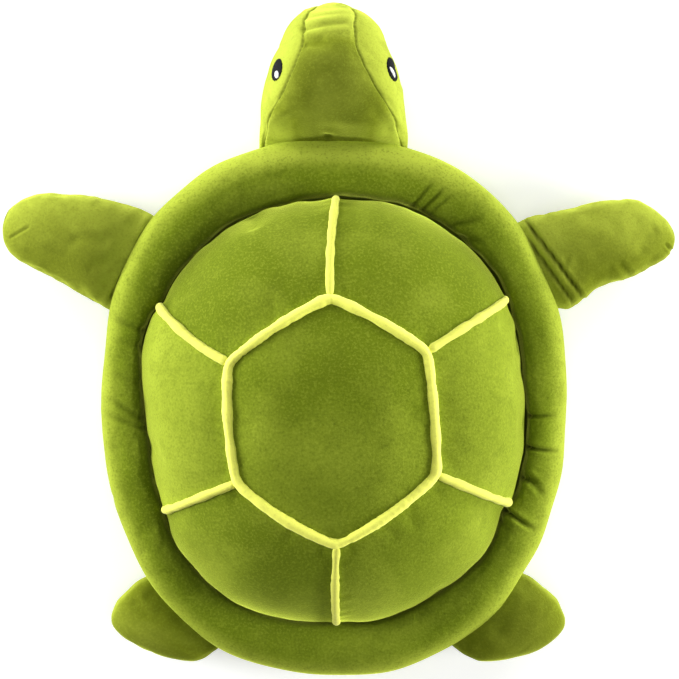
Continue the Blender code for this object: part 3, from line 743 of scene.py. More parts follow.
class Form:
    """A limb or the head, which grows outward from the rim's outer face at one turn round the shell."""

    def __init__(self, turn_deg, length, edges, top, bottom, lift, slope, toward_head):
        self.length, self.edges, self.top, self.bottom = length, edges, top, bottom
        self.lift, self.slope = lift, slope
        turn = math.radians(turn_deg)
        ends = oval(np.array([turn - 0.04, turn + 0.04]), 0.0, 0.0)
        tangent = unit(ends[1] - ends[0])
        self.outward = np.array([tangent[1], -tangent[0], 0])
        self.along = tangent * toward_head
        self.face = oval(np.array(turn), 0.0, RIM_MIDDLE) + self.outward * ROOT_GAP
        self.hinge = self.face + self.outward * ROOT_RADIUS
        turns = turn + np.linspace(-QUARTER, QUARTER, 721) * toward_head
        place = oval(turns, 0.0, RIM_MIDDLE) - self.face
        self.rim_across = place @ self.along
        self.rim_out = np.minimum(place @ self.outward + ROOT_GAP, 0)

    def half_height(self, out, most):
        """Half of the thickness: it swells from the sewn root."""
        swelling = ROOT_HALF_HEIGHT + self.slope * np.maximum(out, 0)
        return (swelling**-4.0 + np.maximum(most, 1e-5) ** -4.0) ** -0.25

    def point(self, out, lean):
        """Points of the form. Lean is 0 at its edge towards the head."""
        share = np.clip(out / self.length, 0, 1)
        front, rear = (edge(share) for edge in self.edges)
        across = (front + rear) / 2 + (front - rear) / 2 * np.cos(lean)
        most = np.where(np.sin(lean) >= 0, self.top(share), self.bottom(share))
        tuck = np.clip(1 + out / ROOT_TUCK * 0.35, 0, 1)
        behind = np.interp(across, self.rim_across, self.rim_out) * (1 - share) ** 2
        place = self.face + self.outward * (out + behind)[..., None] + self.along * across[..., None]
        place[..., 2] += self.lift * share + self.half_height(out, most) * np.sin(lean) * tuck
        return place


def profile(table, size):
    """A line along a form, as a size times a table of shares."""
    return lambda share: size * smooth_table(table, share)


def flipper_edges(side):
    """The flipper's two edges, which close in a round tip."""
    (length, tip_starts, tip), front, rear = FLIPPERS[side]

    def edge(share, table):
        out = share * length * 1000
        (start, start_across), (end, end_across) = table[-2:]
        beyond = end_across + (end_across - start_across) / (end - start) * (out - end)
        line = np.where(out > end, beyond, smooth_table(table, out)) / 1000
        past = np.clip((share - tip_starts) / (1 - tip_starts), 0, 1)
        return tip + (line - tip) * np.sqrt(1 - past**2)

    return lambda share: edge(share, front), lambda share: edge(share, rear)


def limb_form(kind, side):
    if kind == "flipper":
        turn, length, edges = FLIPPER_TURNS_DEG[side], FLIPPERS[side][0][0], flipper_edges(side)
    else:
        turn, length = -FOOT_TURNS_DEG[side], FOOT_LENGTHS[side]
        edges = profile(FOOT_FRONT_SHARES, FOOT_WIDTH), profile(FOOT_REAR_SHARES, FOOT_WIDTH)
    swelling = profile(SWELL_SHARES, LIMB_THICKNESS / 2)
    turn, toward_head = (turn, 1) if side == "right" else (180 - turn, -1)
    return Form(turn, length, edges, swelling, swelling, -LIMB_DROP, LIMB_SLOPE, toward_head)


def head_form():
    def edge(share):
        blunt = 0.05 * np.sin(math.pi * np.clip((share - 0.72) / 0.28, 0, 1))
        return HEAD_HALF_WIDTH * (np.sqrt(np.maximum(1 - share**2, 0)) + blunt)

    edges = edge, lambda share: -edge(share)
    crown, jaw = profile(CROWN_SHARES, HEAD_TOP), profile(JAW_SHARES, HEAD_DEPTH)
    return Form(90, HEAD_LENGTH, edges, crown, jaw, NOSE_LIFT, NECK_SLOPE, -1)


# The edges of the head's gusset, as leans in degrees at shares of its length
RIGHT_GUSSET_DEG = (
    (0, 26), (0.12, 32), (0.265, 45), (0.376, 55), (0.49, 61), (0.64, 66), (0.8, 65), (0.92, 50), (1, 35),
)
LEFT_GUSSET_DEG = (
    (0, 20), (0.08, 24), (0.23, 34), (0.33, 44), (0.49, 52), (0.65, 57), (0.8, 51), (0.93, 38), (1, 30),
)


def head_seams(share):
    right = np.radians(smooth_table(RIGHT_GUSSET_DEG, share))
    left = math.pi - np.radians(smooth_table(LEFT_GUSSET_DEG, share))
    chin = np.radians(CHIN_LEAN_DEG) + 0 * share
    return [right, left, math.pi - chin, 2 * math.pi + chin, 2 * math.pi + right]


def limb_seams(share):
    return [half_turns * math.pi + 0 * share for half_turns in (0, 1, 2)]


def form_grid(form, shape, seams):
    """A grid over a form, with a line of points along each of its seams.

    Gives the distance from the root, the lean, the place across the panel from 0 to 1, and its number.
    """
    rows, columns = shape
    out = np.append(np.linspace(-ROOT_TUCK, 0, 4)[:-1], form.length * eased(rows))
    marks = np.array(seams(np.clip(out / form.length, 0, 1)))
    panels = len(marks) - 1
    each = columns // panels
    u = np.arange(each) / each
    u = 0.45 * u + 0.55 * (1 - np.cos(math.pi * u)) / 2
    lean = [before[:, None] * (1 - u) + after[:, None] * u for before, after in zip(marks, marks[1:])]
    return np.broadcast_arrays(
        out[:, None], np.concatenate(lean, axis=1), np.tile(u, panels), np.arange(each * panels) // each
    )


def limb_painted_shading(out, lean, panel, kind):
    """Painted light and shade on a limb or the head: 0 as it is dyed, 1 painted lighter, -1 painted darker.
    """
    towards_head = np.cos(lean)
    beside = np.abs(towards_head)
    edge = ramp(beside, 0.8, 1)
    if kind == "flipper":
        return 0.22 + 0.32 * towards_head + 0.45 * edge + 0.25 * ramp(-out, -0.03, 0)
    if kind == "foot":
        return -0.35 + 0.7 * edge
    nose = ramp(out, 0.044, 0.08)
    corner = ramp(-out, -0.036, 0) * ramp(beside, 0.05, 0.9)
    middle = ramp(1 - beside, 0.2, 0.8) * ramp(-out, -0.065, -0.045)
    neck = ramp(-out, -0.03, -0.005) * ramp(1 - beside, 0.4, 0.8)
    gusset = -0.6 - 0.3 * middle - 0.4 * neck + 1.5 * nose + 1.6 * corner
    return np.where(panel == 0, gusset, 0.46 + 0.17 * ramp(beside, 0.5, 1))


def limb_fold(points, start, end, depth, half_width):
    """A crease over a limb, as heights, and where it lies. It fades at both ends."""
    share, away = crease_place(points, start, end, half_width)
    ends = np.clip(share * 6 + 0.4, 0, 1) * np.clip((1 - share) * 6 + 0.4, 0, 1)
    mark = ends * bell(away)
    return depth / 1000 * (0.4 * ends * bell(away - 2.3) - mark), mark


# Creases in the limbs and the head that the photograph shows, in millimetres: start and end in plan,
# depth and half width; then how dark the painted shade along them is
FOLDS = {
    "head": (
        ((-21.5, 251.5), (10.5, 256.2), 2.4, 2.8, 0.35), ((-20, 259.5), (9.5, 262.5), 1.8, 2.2, 0.2),
        ((-17, 265.5), (8.5, 267), 1.2, 1.8, 0.1), ((-20, 240), (-2, 238.8), 0.9, 2.6, 0.1),
        ((-6.2, 182.6), (-2.2, 182.3), 1.6, 1.5, 0.9), ((-34, 185), (-22, 199), 0.8, 3, 0),
        ((25, 199), (37, 186), 0.8, 3, 0),
    ),
    "left_flipper": (
        ((-122.5, 129), (-152.5, 70), 1, 1, 0.9), ((-217, 115), (-203, 122.5), 0.7, 0.8, 0.45),
        ((-174, 115), (-150, 112), 0.8, 3, 0), ((-164, 95), (-148, 98.5), 0.6, 3, 0),
    ),
    "right_flipper": (
        ((128.5, 126.5), (168, 73.5), 2, 1, 1), ((129, 115), (161.5, 70), 1.4, 1, 0.9),
        ((221.5, 111), (229, 104), 1, 0.9, 0.4), ((190, 98), (198.5, 88), 1, 2, 0),
        ((156, 102), (150, 93), 0.7, 1.8, 0),
    ),
    "left_foot": (((-136, -130), (-124, -140), 0.8, 2.5, 0),),
    "right_foot": (),
}


def form_piece(form, fineness, seams, look, growth, seed, seam_depth, kind, folds):
    """The cloth of a limb or the head: its fill's swelling, its seams and its folds."""
    sim_shape, shape = fineness
    out, lean, place, panel = form_grid(form, sim_shape, seams)
    coarse = form.point(out, lean)
    pinned = (place == 0) | (out <= 0.002)
    shaken = coarse + 0.0002 * lumps(coarse, 0.008, seed)[..., None]
    trial = swell(shaken, ROUND, pinned, growth, look.limb_limit, (False, True))
    coarse_out = out[:, 0]
    out, lean, place, panel = form_grid(form, shape, seams)
    rows, columns = out.shape
    row = np.interp(out[:, 0], coarse_out, np.arange(len(coarse_out)))
    row, column = np.broadcast_arrays(row[:, None], np.arange(columns) / columns * trial.shape[1])
    base = form.point(out, lean) + resample(trial, row, column, ROUND)
    steps = np.linalg.norm(np.roll(base, -1, axis=1) - base, axis=-1)
    away = np.empty_like(out)
    for number in range(panel.max() + 1):
        run = np.cumsum(steps[:, panel[0] == number], axis=1)
        run = np.concatenate([0 * run[:, :1], run], axis=1)
        away[:, panel[0] == number] = np.minimum(run, run[:, -1:] - run)[:, :-1]
    height = -seam_depth * (0.6 * bell(away / 0.001) + 0.4 * bell(away / 0.005))
    height += look.pucker_height * puckers(out, away, *LIMB_PUCKERS, seed + 1)
    at_root = np.stack([base @ form.along, out * 0.15, 0 * out], axis=-1)
    height += 1.6 * look.pucker_height * bell(out / 0.016) * lumps(at_root, 0.007, seed + 3)
    height += 0.8 * look.lump_height * lumps(base, LIMB_LUMP, seed + 2) * np.clip(out / 0.01, 0, 1)
    stitches = 0.75 + 0.25 * np.sin(out * 2 * math.pi / 0.0032)
    seam = (0.75 if kind == "head" else 0.25) * stitches * bell(away / 0.0009)
    upper = np.sin(lean) > 0
    # Painted shade along the folds, carried in the seam mark
    for *fold, darkened in folds:
        crease, mark = limb_fold(base, *fold)
        height += upper * crease
        seam = np.maximum(seam, upper * mark * darkened)
    normals = grid_normals(base, ROUND)
    outwards = np.sign((normals * (base - base.mean(1, keepdims=True))).sum(-1)[rows // 2].mean())
    fade = np.clip((form.length - out) / 0.004, 0.15, 1)
    grid = base + normals * outwards * (height * fade)[..., None]
    grid[-1] = grid[-1].mean(0)
    grid = np.concatenate([grid[0].mean(0) + 0 * grid[:1], grid])
    nap = limb_painted_shading(out, lean, panel, kind)
    marks = kept_marks(*(np.concatenate([field[:1], field]) for field in (seam, nap)))
    return *closed_skin(grid), marks


# Eyes: the turn of the satin oval, its size, and the glint's place from its middle and size
EYES = {
    "left": (27, (0.0144, 0.0152), (-0.0012, 0.0042), (0.0046, 0.0062)),
    "right": (30, (0.0158, 0.0154), (0.0002, 0.0040), (0.0086, 0.0030)),
}
EYE_OUT = 0.0445
EYE_LEAN_DEG = 30
EYE_HEIGHT = 0.0011
GLINT_HEIGHT = 0.0017


def embroider_eye(side, form, cover, black, white):
    """A satin-stitched oval with its white glint, laid on the head's cloth."""
    tilt_deg, size, glint_place, glint_size = EYES[side]
    lean = math.radians(EYE_LEAN_DEG if side == "right" else 180 - EYE_LEAN_DEG)
    middle, ahead, above = form.point(EYE_OUT + np.array([0, 0.002, 0]), lean + np.array([0, 0, 0.04]))
    forward = unit(ahead - middle)
    up = (above - middle) * (1 if side == "right" else -1)
    up = unit(up - forward * (up @ forward))
    outward = np.cross(forward, up)
    outward *= np.sign(outward @ (middle - (0, middle[1], 0.03)))
    cosine, sine = math.cos(math.radians(tilt_deg)), math.sin(math.radians(tilt_deg))
    ways = forward * cosine + up * sine, up * cosine - forward * sine
    ground = BVHTree.FromObject(cover, bpy.context.evaluated_depsgraph_get())
    for name, slot, shift, oval_size, height, thread in (
        (f"{side}_eye", "eye_thread", (0, 0), size, EYE_HEIGHT, black),
        (f"{side}_eye_highlight", "highlight_thread", glint_place, glint_size, GLINT_HEIGHT, white),
    ):
        place = middle + ways[0] * shift[0] + ways[1] * shift[1]
        patch = stitched_oval(f"{name}_stitches", ground, place, ways, outward, oval_size, height)
        patch.data.materials.append(thread)
        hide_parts(name)
        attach(patch, "head")


def stitched_oval(name, ground, place, ways, outward, size, height):
    """A domed oval of stitches that follows the cloth under it."""
    rings, columns = EYE_SHAPE
    turn = 2 * math.pi * np.arange(columns) / columns
    ragged = 0.02 * np.sin(turn * 17 + 1) + 0.015 * np.sin(turn * 29)
    top, bottom = [], []
    for share in eased(rings):
        reach = share * (1 + ragged * share) / 2
        flat = np.outer(np.cos(turn) * reach * size[0], ways[0])
        flat += np.outer(np.sin(turn) * reach * size[1], ways[1])
        thick = height * (0.45 + 0.55 * math.sqrt(max(1 - share**2, 0)))
        for spot in flat:
            start = Vector(place + spot + outward * 0.02)
            hit, normal, _, _ = ground.ray_cast(start, Vector(-outward))
            if hit is None:
                raise RuntimeError(f"{name} leaves the head")
            ridge = 0.00006 * math.sin((spot @ ways[0]) / 0.0011 * 2 * math.pi)
            top.append(hit + normal * (thick + ridge))
            bottom.append(hit - normal * 0.0008)
    top, bottom = (np.array(points).reshape(rings + 1, columns, 3) for points in (top, bottom))
    return new_object(name, *closed_skin(np.concatenate([top, bottom[::-1]])))


def finish_padded(name, made, body, material, nodes):
    obj = new_object(name, *made)
    obj.data.materials.append(material)
    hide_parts(*nodes)
    if body:
        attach(obj, body)
    return obj


def sew_to_shell(obj):
    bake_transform(obj)


# Materials


def add_node(tree, kind, **settings):
    """Adds a node to the right of the last one."""
    node = tree.nodes.new(kind)
    node.location = 200 * len(tree.nodes), 0
    for name, value in settings.items():
        setattr(node, name, value)
    return node


def set_inputs(node, **values):
    """Sets a node's sockets, named with _ for each space."""
    for name, value in values.items():
        node.inputs[name.replace("_", " ")].default_value = value


def feed(tree, socket, value):
    """Links a socket to another node's output, or sets it to a plain value."""
    if hasattr(value, "is_linked"):
        tree.links.new(value, socket)
    else:
        socket.default_value = value


def noise_field(tree, coordinates, size, detail, roughness, distortion=0.0):
    """A noise texture whose features are about this size, in metres."""
    node = add_node(tree, "ShaderNodeTexNoise")
    set_inputs(node, Scale=1 / size, Detail=detail, Roughness=roughness, Distortion=distortion)
    tree.links.new(coordinates, node.inputs["Vector"])
    return node.outputs["Fac"]


def stretch_range(tree, value, low, high, to_low=0.0, to_high=1.0):
    node = add_node(tree, "ShaderNodeMapRange")
    set_inputs(node, From_Min=low, From_Max=high, To_Min=to_low, To_Max=to_high)
    tree.links.new(value, node.inputs["Value"])
    return node.outputs["Result"]


def mix_colour(tree, share, first, second):
    node = add_node(tree, "ShaderNodeMix", data_type="RGBA")
    sockets = {s.identifier: s for s in (*node.inputs, *node.outputs)}
    for key, value in (("Factor_Float", share), ("A_Color", first), ("B_Color", second)):
        feed(tree, sockets[key], value)
    return sockets["Result_Color"]


def calculate(tree, operation, *values):
    node = add_node(tree, "ShaderNodeMath", operation=operation)
    for socket, value in zip(node.inputs, values):
        feed(tree, socket, value)
    return node.outputs[0]


def new_material(name):
    """An empty finish: its material, its nodes and its shader."""
    material = bpy.data.materials.new(name)
    material.use_nodes = True
    return material, material.node_tree, material.node_tree.nodes["Principled BSDF"]


def raise_surface(tree, shader, height, strength, distance):
    """Lets a height show as relief."""
    relief = add_node(tree, "ShaderNodeBump")
    set_inputs(relief, Strength=strength, Distance=distance)
    tree.links.new(height, relief.inputs["Height"])
    tree.links.new(relief.outputs["Normal"], shader.inputs["Normal"])


def short_pile_group():
    """Short velvet pile: brushed patches, a fine mottle, painted light and shade, darker seams with painted
    shade in creases, and the height of the pile.
    """
    tree = bpy.data.node_groups.new("short_pile", "ShaderNodeTree")
    for label, kind, default in (
        ("Colour", "Color", (0.2, 0.3, 0.02, 1)),
        ("Brushed", "Color", (0.3, 0.4, 0.04, 1)),
        ("Parted", "Color", (0.1, 0.15, 0.01, 1)),
        ("Patches", "Float", 1.0),
        ("Mottle", "Float", 1.0),
        ("Seam", "Float", 0.0),
        ("Nap", "Float", 0.0),
    ):
        socket = tree.interface.new_socket(label, in_out="INPUT", socket_type=f"NodeSocket{kind}")
        socket.default_value = default
    for label, kind in (("Colour", "Color"), ("Roughness", "Float"), ("Height", "Float")):
        tree.interface.new_socket(label, in_out="OUTPUT", socket_type=f"NodeSocket{kind}")
    given = add_node(tree, "NodeGroupInput").outputs
    place = add_node(tree, "ShaderNodeTexCoord").outputs["Object"]
    wide = noise_field(tree, place, 0.055, 2, 0.5, 0.5)
    small = noise_field(tree, place, 0.016, 3, 0.55, 0.6)
    mottle = noise_field(tree, place, 0.0016, 2, 0.65)
    fibre = noise_field(tree, place, 0.0007, 2, 0.6)
    # Painted light and shade: the colour is mixed towards the lighter copy or the darker copy as the mark
    # says
    colour = mix_colour(tree, stretch_range(tree, given["Nap"], 0, 1), given["Colour"], given["Brushed"])
    colour = mix_colour(tree, stretch_range(tree, given["Nap"], 0, -1), colour, given["Parted"])
    for field, low, high, most, amount, pile in (
        (wide, 0.45, 0.75, 0.24, "Patches", "Brushed"),
        (small, 0.5, 0.25, 0.35, "Patches", "Parted"),
        (mottle, 0.5, 0.72, 0.24, "Mottle", "Brushed"),
        (mottle, 0.48, 0.28, 0.5, "Mottle", "Parted"),
    ):
        share = calculate(tree, "MULTIPLY", stretch_range(tree, field, low, high, 0, most), given[amount])
        colour = mix_colour(tree, share, colour, given[pile])
    # Painted shade in the crease and the folds, and darker seams, mixed in by the seam mark
    seam_and_shade_colour = mix_colour(tree, 0.5, given["Parted"], (0, 0, 0, 1))
    colour = mix_colour(tree, given["Seam"], colour, seam_and_shade_colour)
    height = [calculate(tree, "MULTIPLY", field, share) for field, share in ((mottle, 0.6), (fibre, 0.4))]
    height = calculate(tree, "ADD", *height)
    made = add_node(tree, "NodeGroupOutput").inputs
    tree.links.new(colour, made["Colour"])
    tree.links.new(stretch_range(tree, mottle, 0.3, 0.7, 0.82, 1.0), made["Roughness"])
    tree.links.new(height, made["Height"])
    return tree


def plush_material(name, colours, patches, mottle, bump, sheen, sheen_tint, sheen_roughness):
    material, tree, shader = new_material(name)
    group = bpy.data.node_groups.get("short_pile") or short_pile_group()
    pile = add_node(tree, "ShaderNodeGroup", node_tree=group)
    colour, brushed, darkened = ((*colour, 1) for colour in colours)
    set_inputs(pile, Colour=colour, Brushed=brushed, Parted=darkened, Patches=patches, Mottle=mottle)
    # The seam mark brings darker seams and painted shade in creases and folds; the other mark paints light
    # and shade
    for label, socket in (("seam", "Seam"), ("nap", "Nap")):
        marks = add_node(tree, "ShaderNodeAttribute", attribute_name=label)
        tree.links.new(marks.outputs["Fac"], pile.inputs[socket])
    tree.links.new(pile.outputs["Colour"], shader.inputs["Base Color"])
    tree.links.new(pile.outputs["Roughness"], shader.inputs["Roughness"])
    raise_surface(tree, shader, pile.outputs["Height"], bump, 0.0005)
    set_inputs(shader, Specular_IOR_Level=0.06, Sheen_Weight=sheen)
    set_inputs(shader, Sheen_Tint=(*sheen_tint, 1), Sheen_Roughness=sheen_roughness)
    return material


def scaled(colour, share):
    return tuple(channel * share for channel in colour)


def material_named(name, context):
    """Gives a plush finish of this turtle, made the first time it is asked for."""
    found = bpy.data.materials.get(name)
    if found:
        return found
    look = context.scene.turtle_look
    if name == "fill_fibre":
        colour = (0.8, 0.8, 0.77)
        colours = colour, (0.9, 0.9, 0.88), scaled(colour, 0.62)
        return plush_material(name, colours, 0.6, 1.0, 0.8, 0.2, (1, 1, 1), 0.5)
    if name == "piping_pile":
        colour = scaled(look.piping_colour, 0.86)
        # A lighter copy for painted light and a darker copy for painted shade
        colours = colour, scaled(look.piping_colour, 1.18), scaled(colour, 0.8)
        return plush_material(name, colours, 0.2, 0.5, 0.4, 0.3, (1, 0.98, 0.5), 0.4)
    if name == "shell_pile":
        colour, brushed, mottle = look.shell_colour, look.shell_brushed_and_lit, 1.0
    else:
        colour, brushed, mottle = look.limb_colour, look.limb_brushed_and_lit, 0.5
    finish = look.pile_bump, look.sheen, look.sheen_colour, look.sheen_spread
    # The brushed colour is also the lit copy for painted light; the darker copy, at 0.62, is for painted
    # shade and darker patches
    return plush_material(name, (colour, brushed, scaled(colour, 0.62)), 1.0, mottle, *finish)


def thread_material(name, colour, lighter):
    """Satin stitches: fine parallel threads with a soft shine."""
    material, tree, shader = new_material(name)
    place = add_node(tree, "ShaderNodeTexCoord").outputs["Object"]
    wave = add_node(tree, "ShaderNodeTexWave", bands_direction="X")
    set_inputs(wave, Scale=900, Distortion=1.5, Detail=2)
    tree.links.new(place, wave.inputs["Vector"])
    specks = noise_field(tree, place, 0.0009, 2, 0.6)
    share = calculate(tree, "MULTIPLY", stretch_range(tree, specks, 0.5, 0.72), 0.7)
    colour = mix_colour(tree, share, (*colour, 1), (*lighter, 1))
    tree.links.new(colour, shader.inputs["Base Color"])
    tree.links.new(stretch_range(tree, wave.outputs["Fac"], 0, 1, 0.45, 0.65), shader.inputs["Roughness"])
    set_inputs(shader, Specular_IOR_Level=0.08)
    raise_surface(tree, shader, wave.outputs["Fac"], 0.5, 0.0002)
    return material


def floor_material(stage):
    material, tree, shader = new_material("studio_paper")
    set_inputs(shader, Base_Color=(*stage.floor_colour, 1), Roughness=1, Specular_IOR_Level=0)
    set_inputs(shader, Emission_Color=(1, 1, 1, 1))
    rays = add_node(tree, "ShaderNodeLightPath")
    strength = calculate(tree, "MULTIPLY", rays.outputs["Is Camera Ray"], 0.35)
    tree.links.new(strength, shader.inputs["Emission Strength"])
    return material


def light_room(scene, strength):
    """An even light that is white where the camera, gloss or glass looks straight at it."""
    world = bpy.data.worlds.new("studio")
    scene.world = world
    world.use_nodes = True
    tree = world.node_tree
    ground = tree.nodes["Background"]
    set_inputs(ground, Color=(1, 1, 1, 1))
    rays = add_node(tree, "ShaderNodeLightPath")
    seen = rays.outputs["Is Camera Ray"]
    for kind in ("Is Glossy Ray", "Is Transmission Ray"):
        seen = calculate(tree, "MAXIMUM", seen, rays.outputs[kind])
    tree.links.new(stretch_range(tree, seen, 0, 1, strength, 1), ground.inputs["Strength"])


# Settings that a user would change


class TurtleLook(bpy.types.PropertyGroup):
    """Colours and finish of the cloth"""

    shell_colour: bpy.props.FloatVectorProperty(
        name="Shell", description="Colour of the shell's pile",
        default=(0.15, 0.208, 0.008), subtype="COLOR"
    )
    # Also the lit copy of the shell's pile, used for painted light
    shell_brushed_and_lit: bpy.props.FloatVectorProperty(
        name="Shell, brushed", description="Shell's pile where it is brushed up",
        default=(0.43, 0.51, 0.052), subtype="COLOR"
    )
    limb_colour: bpy.props.FloatVectorProperty(
        name="Limbs", description="Colour of the limbs' and head's pile",
        default=(0.175, 0.215, 0.01), subtype="COLOR"
    )
    # Also the lit copy of the limbs' pile, used for painted light
    limb_brushed_and_lit: bpy.props.FloatVectorProperty(
        name="Limbs, brushed", description="Limbs' pile where it is brushed up",
        default=(0.56, 0.65, 0.075), subtype="COLOR"
    )
    sheen_colour: bpy.props.FloatVectorProperty(
        name="Sheen", description="Colour of the pile seen edge on",
        default=(0.86, 1.0, 0.12), subtype="COLOR"
    )
    sheen: bpy.props.FloatProperty(
        name="Sheen amount", description="Strength of the sheen", default=1.0, min=0, max=1
    )
    sheen_spread: bpy.props.FloatProperty(
        name="Sheen spread", description="How far the sheen reaches in from the edges",
        default=0.35, min=0, max=1
    )
    pile_bump: bpy.props.FloatProperty(
        name="Pile relief", description="Strength of the pile's relief", default=0.7, min=0, max=1
    )
    piping_colour: bpy.props.FloatVectorProperty(
        name="Piping", description="Colour of the piping", default=(0.82, 0.84, 0.14), subtype="COLOR"
    )


class TurtleSewing(bpy.types.PropertyGroup):
    """Sizes of the sewing and the fill"""

    cloth_growth: bpy.props.FloatProperty(
        name="Fullness", description="How much larger the cloth is cut than the form",
        default=0.004, min=0, max=0.1
    )
    rim_growth: bpy.props.FloatProperty(
        name="Rim fullness", description="How much larger the rim's cloth is cut",
        default=0.006, min=0, max=0.1
    )
    head_growth: bpy.props.FloatProperty(
        name="Head fullness", description="How much larger the head's cloth is cut",
        default=0.006, min=0, max=0.1
    )
    puff_limit: bpy.props.FloatProperty(
        name="Shell swelling", description="Furthest that the shell's cloth moves",
        default=0.0025, unit="LENGTH"
    )
    rim_limit: bpy.props.FloatProperty(
        name="Rim swelling", description="Furthest that the rim's cloth moves",
        default=0.0012, unit="LENGTH"
    )
    limb_limit: bpy.props.FloatProperty(
        name="Limb swelling", description="Furthest that the limbs' cloth moves",
        default=0.0014, unit="LENGTH"
    )
    seam_depth: bpy.props.FloatProperty(
        name="Seam depth", description="How deep the seams are drawn in", default=0.0016, unit="LENGTH"
    )
    pucker_height: bpy.props.FloatProperty(
        name="Puckers", description="Height of the small folds at the seams", default=0.00016, unit="LENGTH"
    )
    lump_height: bpy.props.FloatProperty(
        name="Lumps", description="Height of the fill's unevenness", default=0.0005, unit="LENGTH"
    )
    fold_depth: bpy.props.FloatProperty(
        name="Folds", description="Share of the photographed folds' depth", default=1.0, min=0, max=2
    )
    piping_diameter: bpy.props.FloatProperty(
        name="Piping", description="Width of the piping round the middle panel",
        default=0.0066, unit="LENGTH"
    )
    spoke_diameter: bpy.props.FloatProperty(
        name="Spoke piping", description="Width of the piping between the side panels",
        default=0.0061, unit="LENGTH"
    )
    piping_ride: bpy.props.FloatProperty(
        name="Piping lift", description="How far the piping stands above the cloth, as a share of its radius",
        default=0.55
    )


class TurtleStage(bpy.types.PropertyGroup):
    """Floor, light and camera"""

    floor_colour: bpy.props.FloatVectorProperty(
        name="Floor", description="Colour of the floor", default=(0.9, 0.9, 0.9), subtype="COLOR"
    )
    key_power: bpy.props.FloatProperty(
        name="Key", description="Power of the light at the head's end", default=5, unit="POWER"
    )
    corner_power: bpy.props.FloatProperty(
        name="Corners", description="Power of the lights beside the head", default=19, unit="POWER"
    )
    side_power: bpy.props.FloatProperty(
        name="Sides", description="Power of the side lights", default=32, unit="POWER"
    )
    top_power: bpy.props.FloatProperty(
        name="Top", description="Power of the light overhead", default=5, unit="POWER"
    )
    room_light: bpy.props.FloatProperty(name="Room", description="Strength of the even light", default=0.22)


class Maker:
    """What the turtle's operators share."""

    bl_options = {"REGISTER", "UNDO"}

    def sew_shell_part(self, context, name, made, fill, nodes):
        pile = material_named("shell_pile", context)
        finish_padded(name, made, "shell", pile, nodes)


def shell_trial(context):
    """The dome's swelling, solved once and kept for the panels and the piping."""
    if "trial" not in shell_trial.__dict__:
        shell_trial.trial = dome_trial(context.scene.turtle_sewing)
    return shell_trial.trial


class TURTLE_OT_shell_panels(Maker, bpy.types.Operator):
    """Makes the shell's seven stuffed panels and the fill under them"""

    bl_idname = "turtle.shell_panels"
    bl_label = "Shell panels"

    def execute(self, context):
        look, trial = context.scene.turtle_sewing, shell_trial(context)
        for sector, name in enumerate((*SECTOR_NAMES, "centre")):
            node = f"{name}_shell_panel"
            made = centre_pad(trial, look) if name == "centre" else side_pad(sector, trial, look)
            self.sew_shell_part(context, f"{node}_pad", made, 0.9, [node])
        fibre = material_named("fill_fibre", context)
        finish_padded("shell_fill", dome_fill(), "shell", fibre, ["shell_stuffing"])
        return {"FINISHED"}


class TURTLE_OT_rim(Maker, bpy.types.Operator):
    """Makes the padded rim round the shell"""

    bl_idname = "turtle.rim"
    bl_label = "Rim"

    def execute(self, context):
        made = rim_piece(context.scene.turtle_sewing)
        self.sew_shell_part(context, "shell_rim", made, 0.85, ["rim_cover", "rim_stuffing"])
        return {"FINISHED"}


class TURTLE_OT_belly(Maker, bpy.types.Operator):
    """Makes the flat underside"""

    bl_idname = "turtle.belly"
    bl_label = "Belly"

    def execute(self, context):
        made = belly_piece(context.scene.turtle_sewing)
        self.sew_shell_part(context, "shell_belly", made, 0.7, ["belly_panel"])
        return {"FINISHED"}


class TURTLE_OT_piping(Maker, bpy.types.Operator):
    """Makes the yellow piping over the shell's seams"""

    bl_idname = "turtle.piping"
    bl_label = "Piping"

    def execute(self, context):
        look, trial = context.scene.turtle_sewing, shell_trial(context)
        yellow = material_named("piping_pile", context)
        steps, radius = 90, look.piping_diameter / 2
        sector, across = np.repeat(np.arange(6), steps), np.tile(np.arange(steps) / steps, 6)
        path = piping_path(sector, across, np.ones(len(sector)), trial, radius * look.piping_ride)
        path = ease_corners(path, True, 55)
        widths = radius * (1 + 0.07 * lumps(path, 0.008, 91) + 0.03 * lumps(path, 0.0025, 92))
        # Painted light: the hexagon's cord is painted lighter than the spokes
        self.dress_cord("hexagon_piping_cord", "hexagon_piping", path, widths, True, yellow, 1.0)
        radius = look.spoke_diameter / 2
        out = np.append(1 + np.sin(QUARTER * np.linspace(0.012, 1, 110)), 2 + np.linspace(0.04, 0.4, 10))
        for index, name in enumerate(SPOKE_NAMES):
            path = piping_path(index, np.zeros(len(out)), out, trial, radius * look.piping_ride)
            path = ease_corners(path[path[:, 2] > 0.028], False, 6)
            widths = radius * (1 + 0.07 * lumps(path, 0.008, 93 + index) + 0.03 * lumps(path, 0.0025, 99))
            widths *= SPOKE_WIDTHS[index] * (0.85 + 0.15 * ramp(path[:, 2], 0.034, 0.055))
            widths[:4] *= (0.6, 0.8, 0.93, 0.98)
            names = f"{name}_spoke_cord", f"{name}_spoke_piping"
            self.dress_cord(*names, path, widths, False, yellow, 0.0)
        return {"FINISHED"}

    def dress_cord(self, name, node, path, widths, closed, material, nap):
        obj = cord_mesh(name, path, widths, closed)
        marks = obj.data.attributes.new("nap", "FLOAT", "POINT")
        marks.data.foreach_set("value", np.full(len(obj.data.vertices), nap))
        obj.data.materials.append(material)
        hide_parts(node)
        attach(obj, "shell")


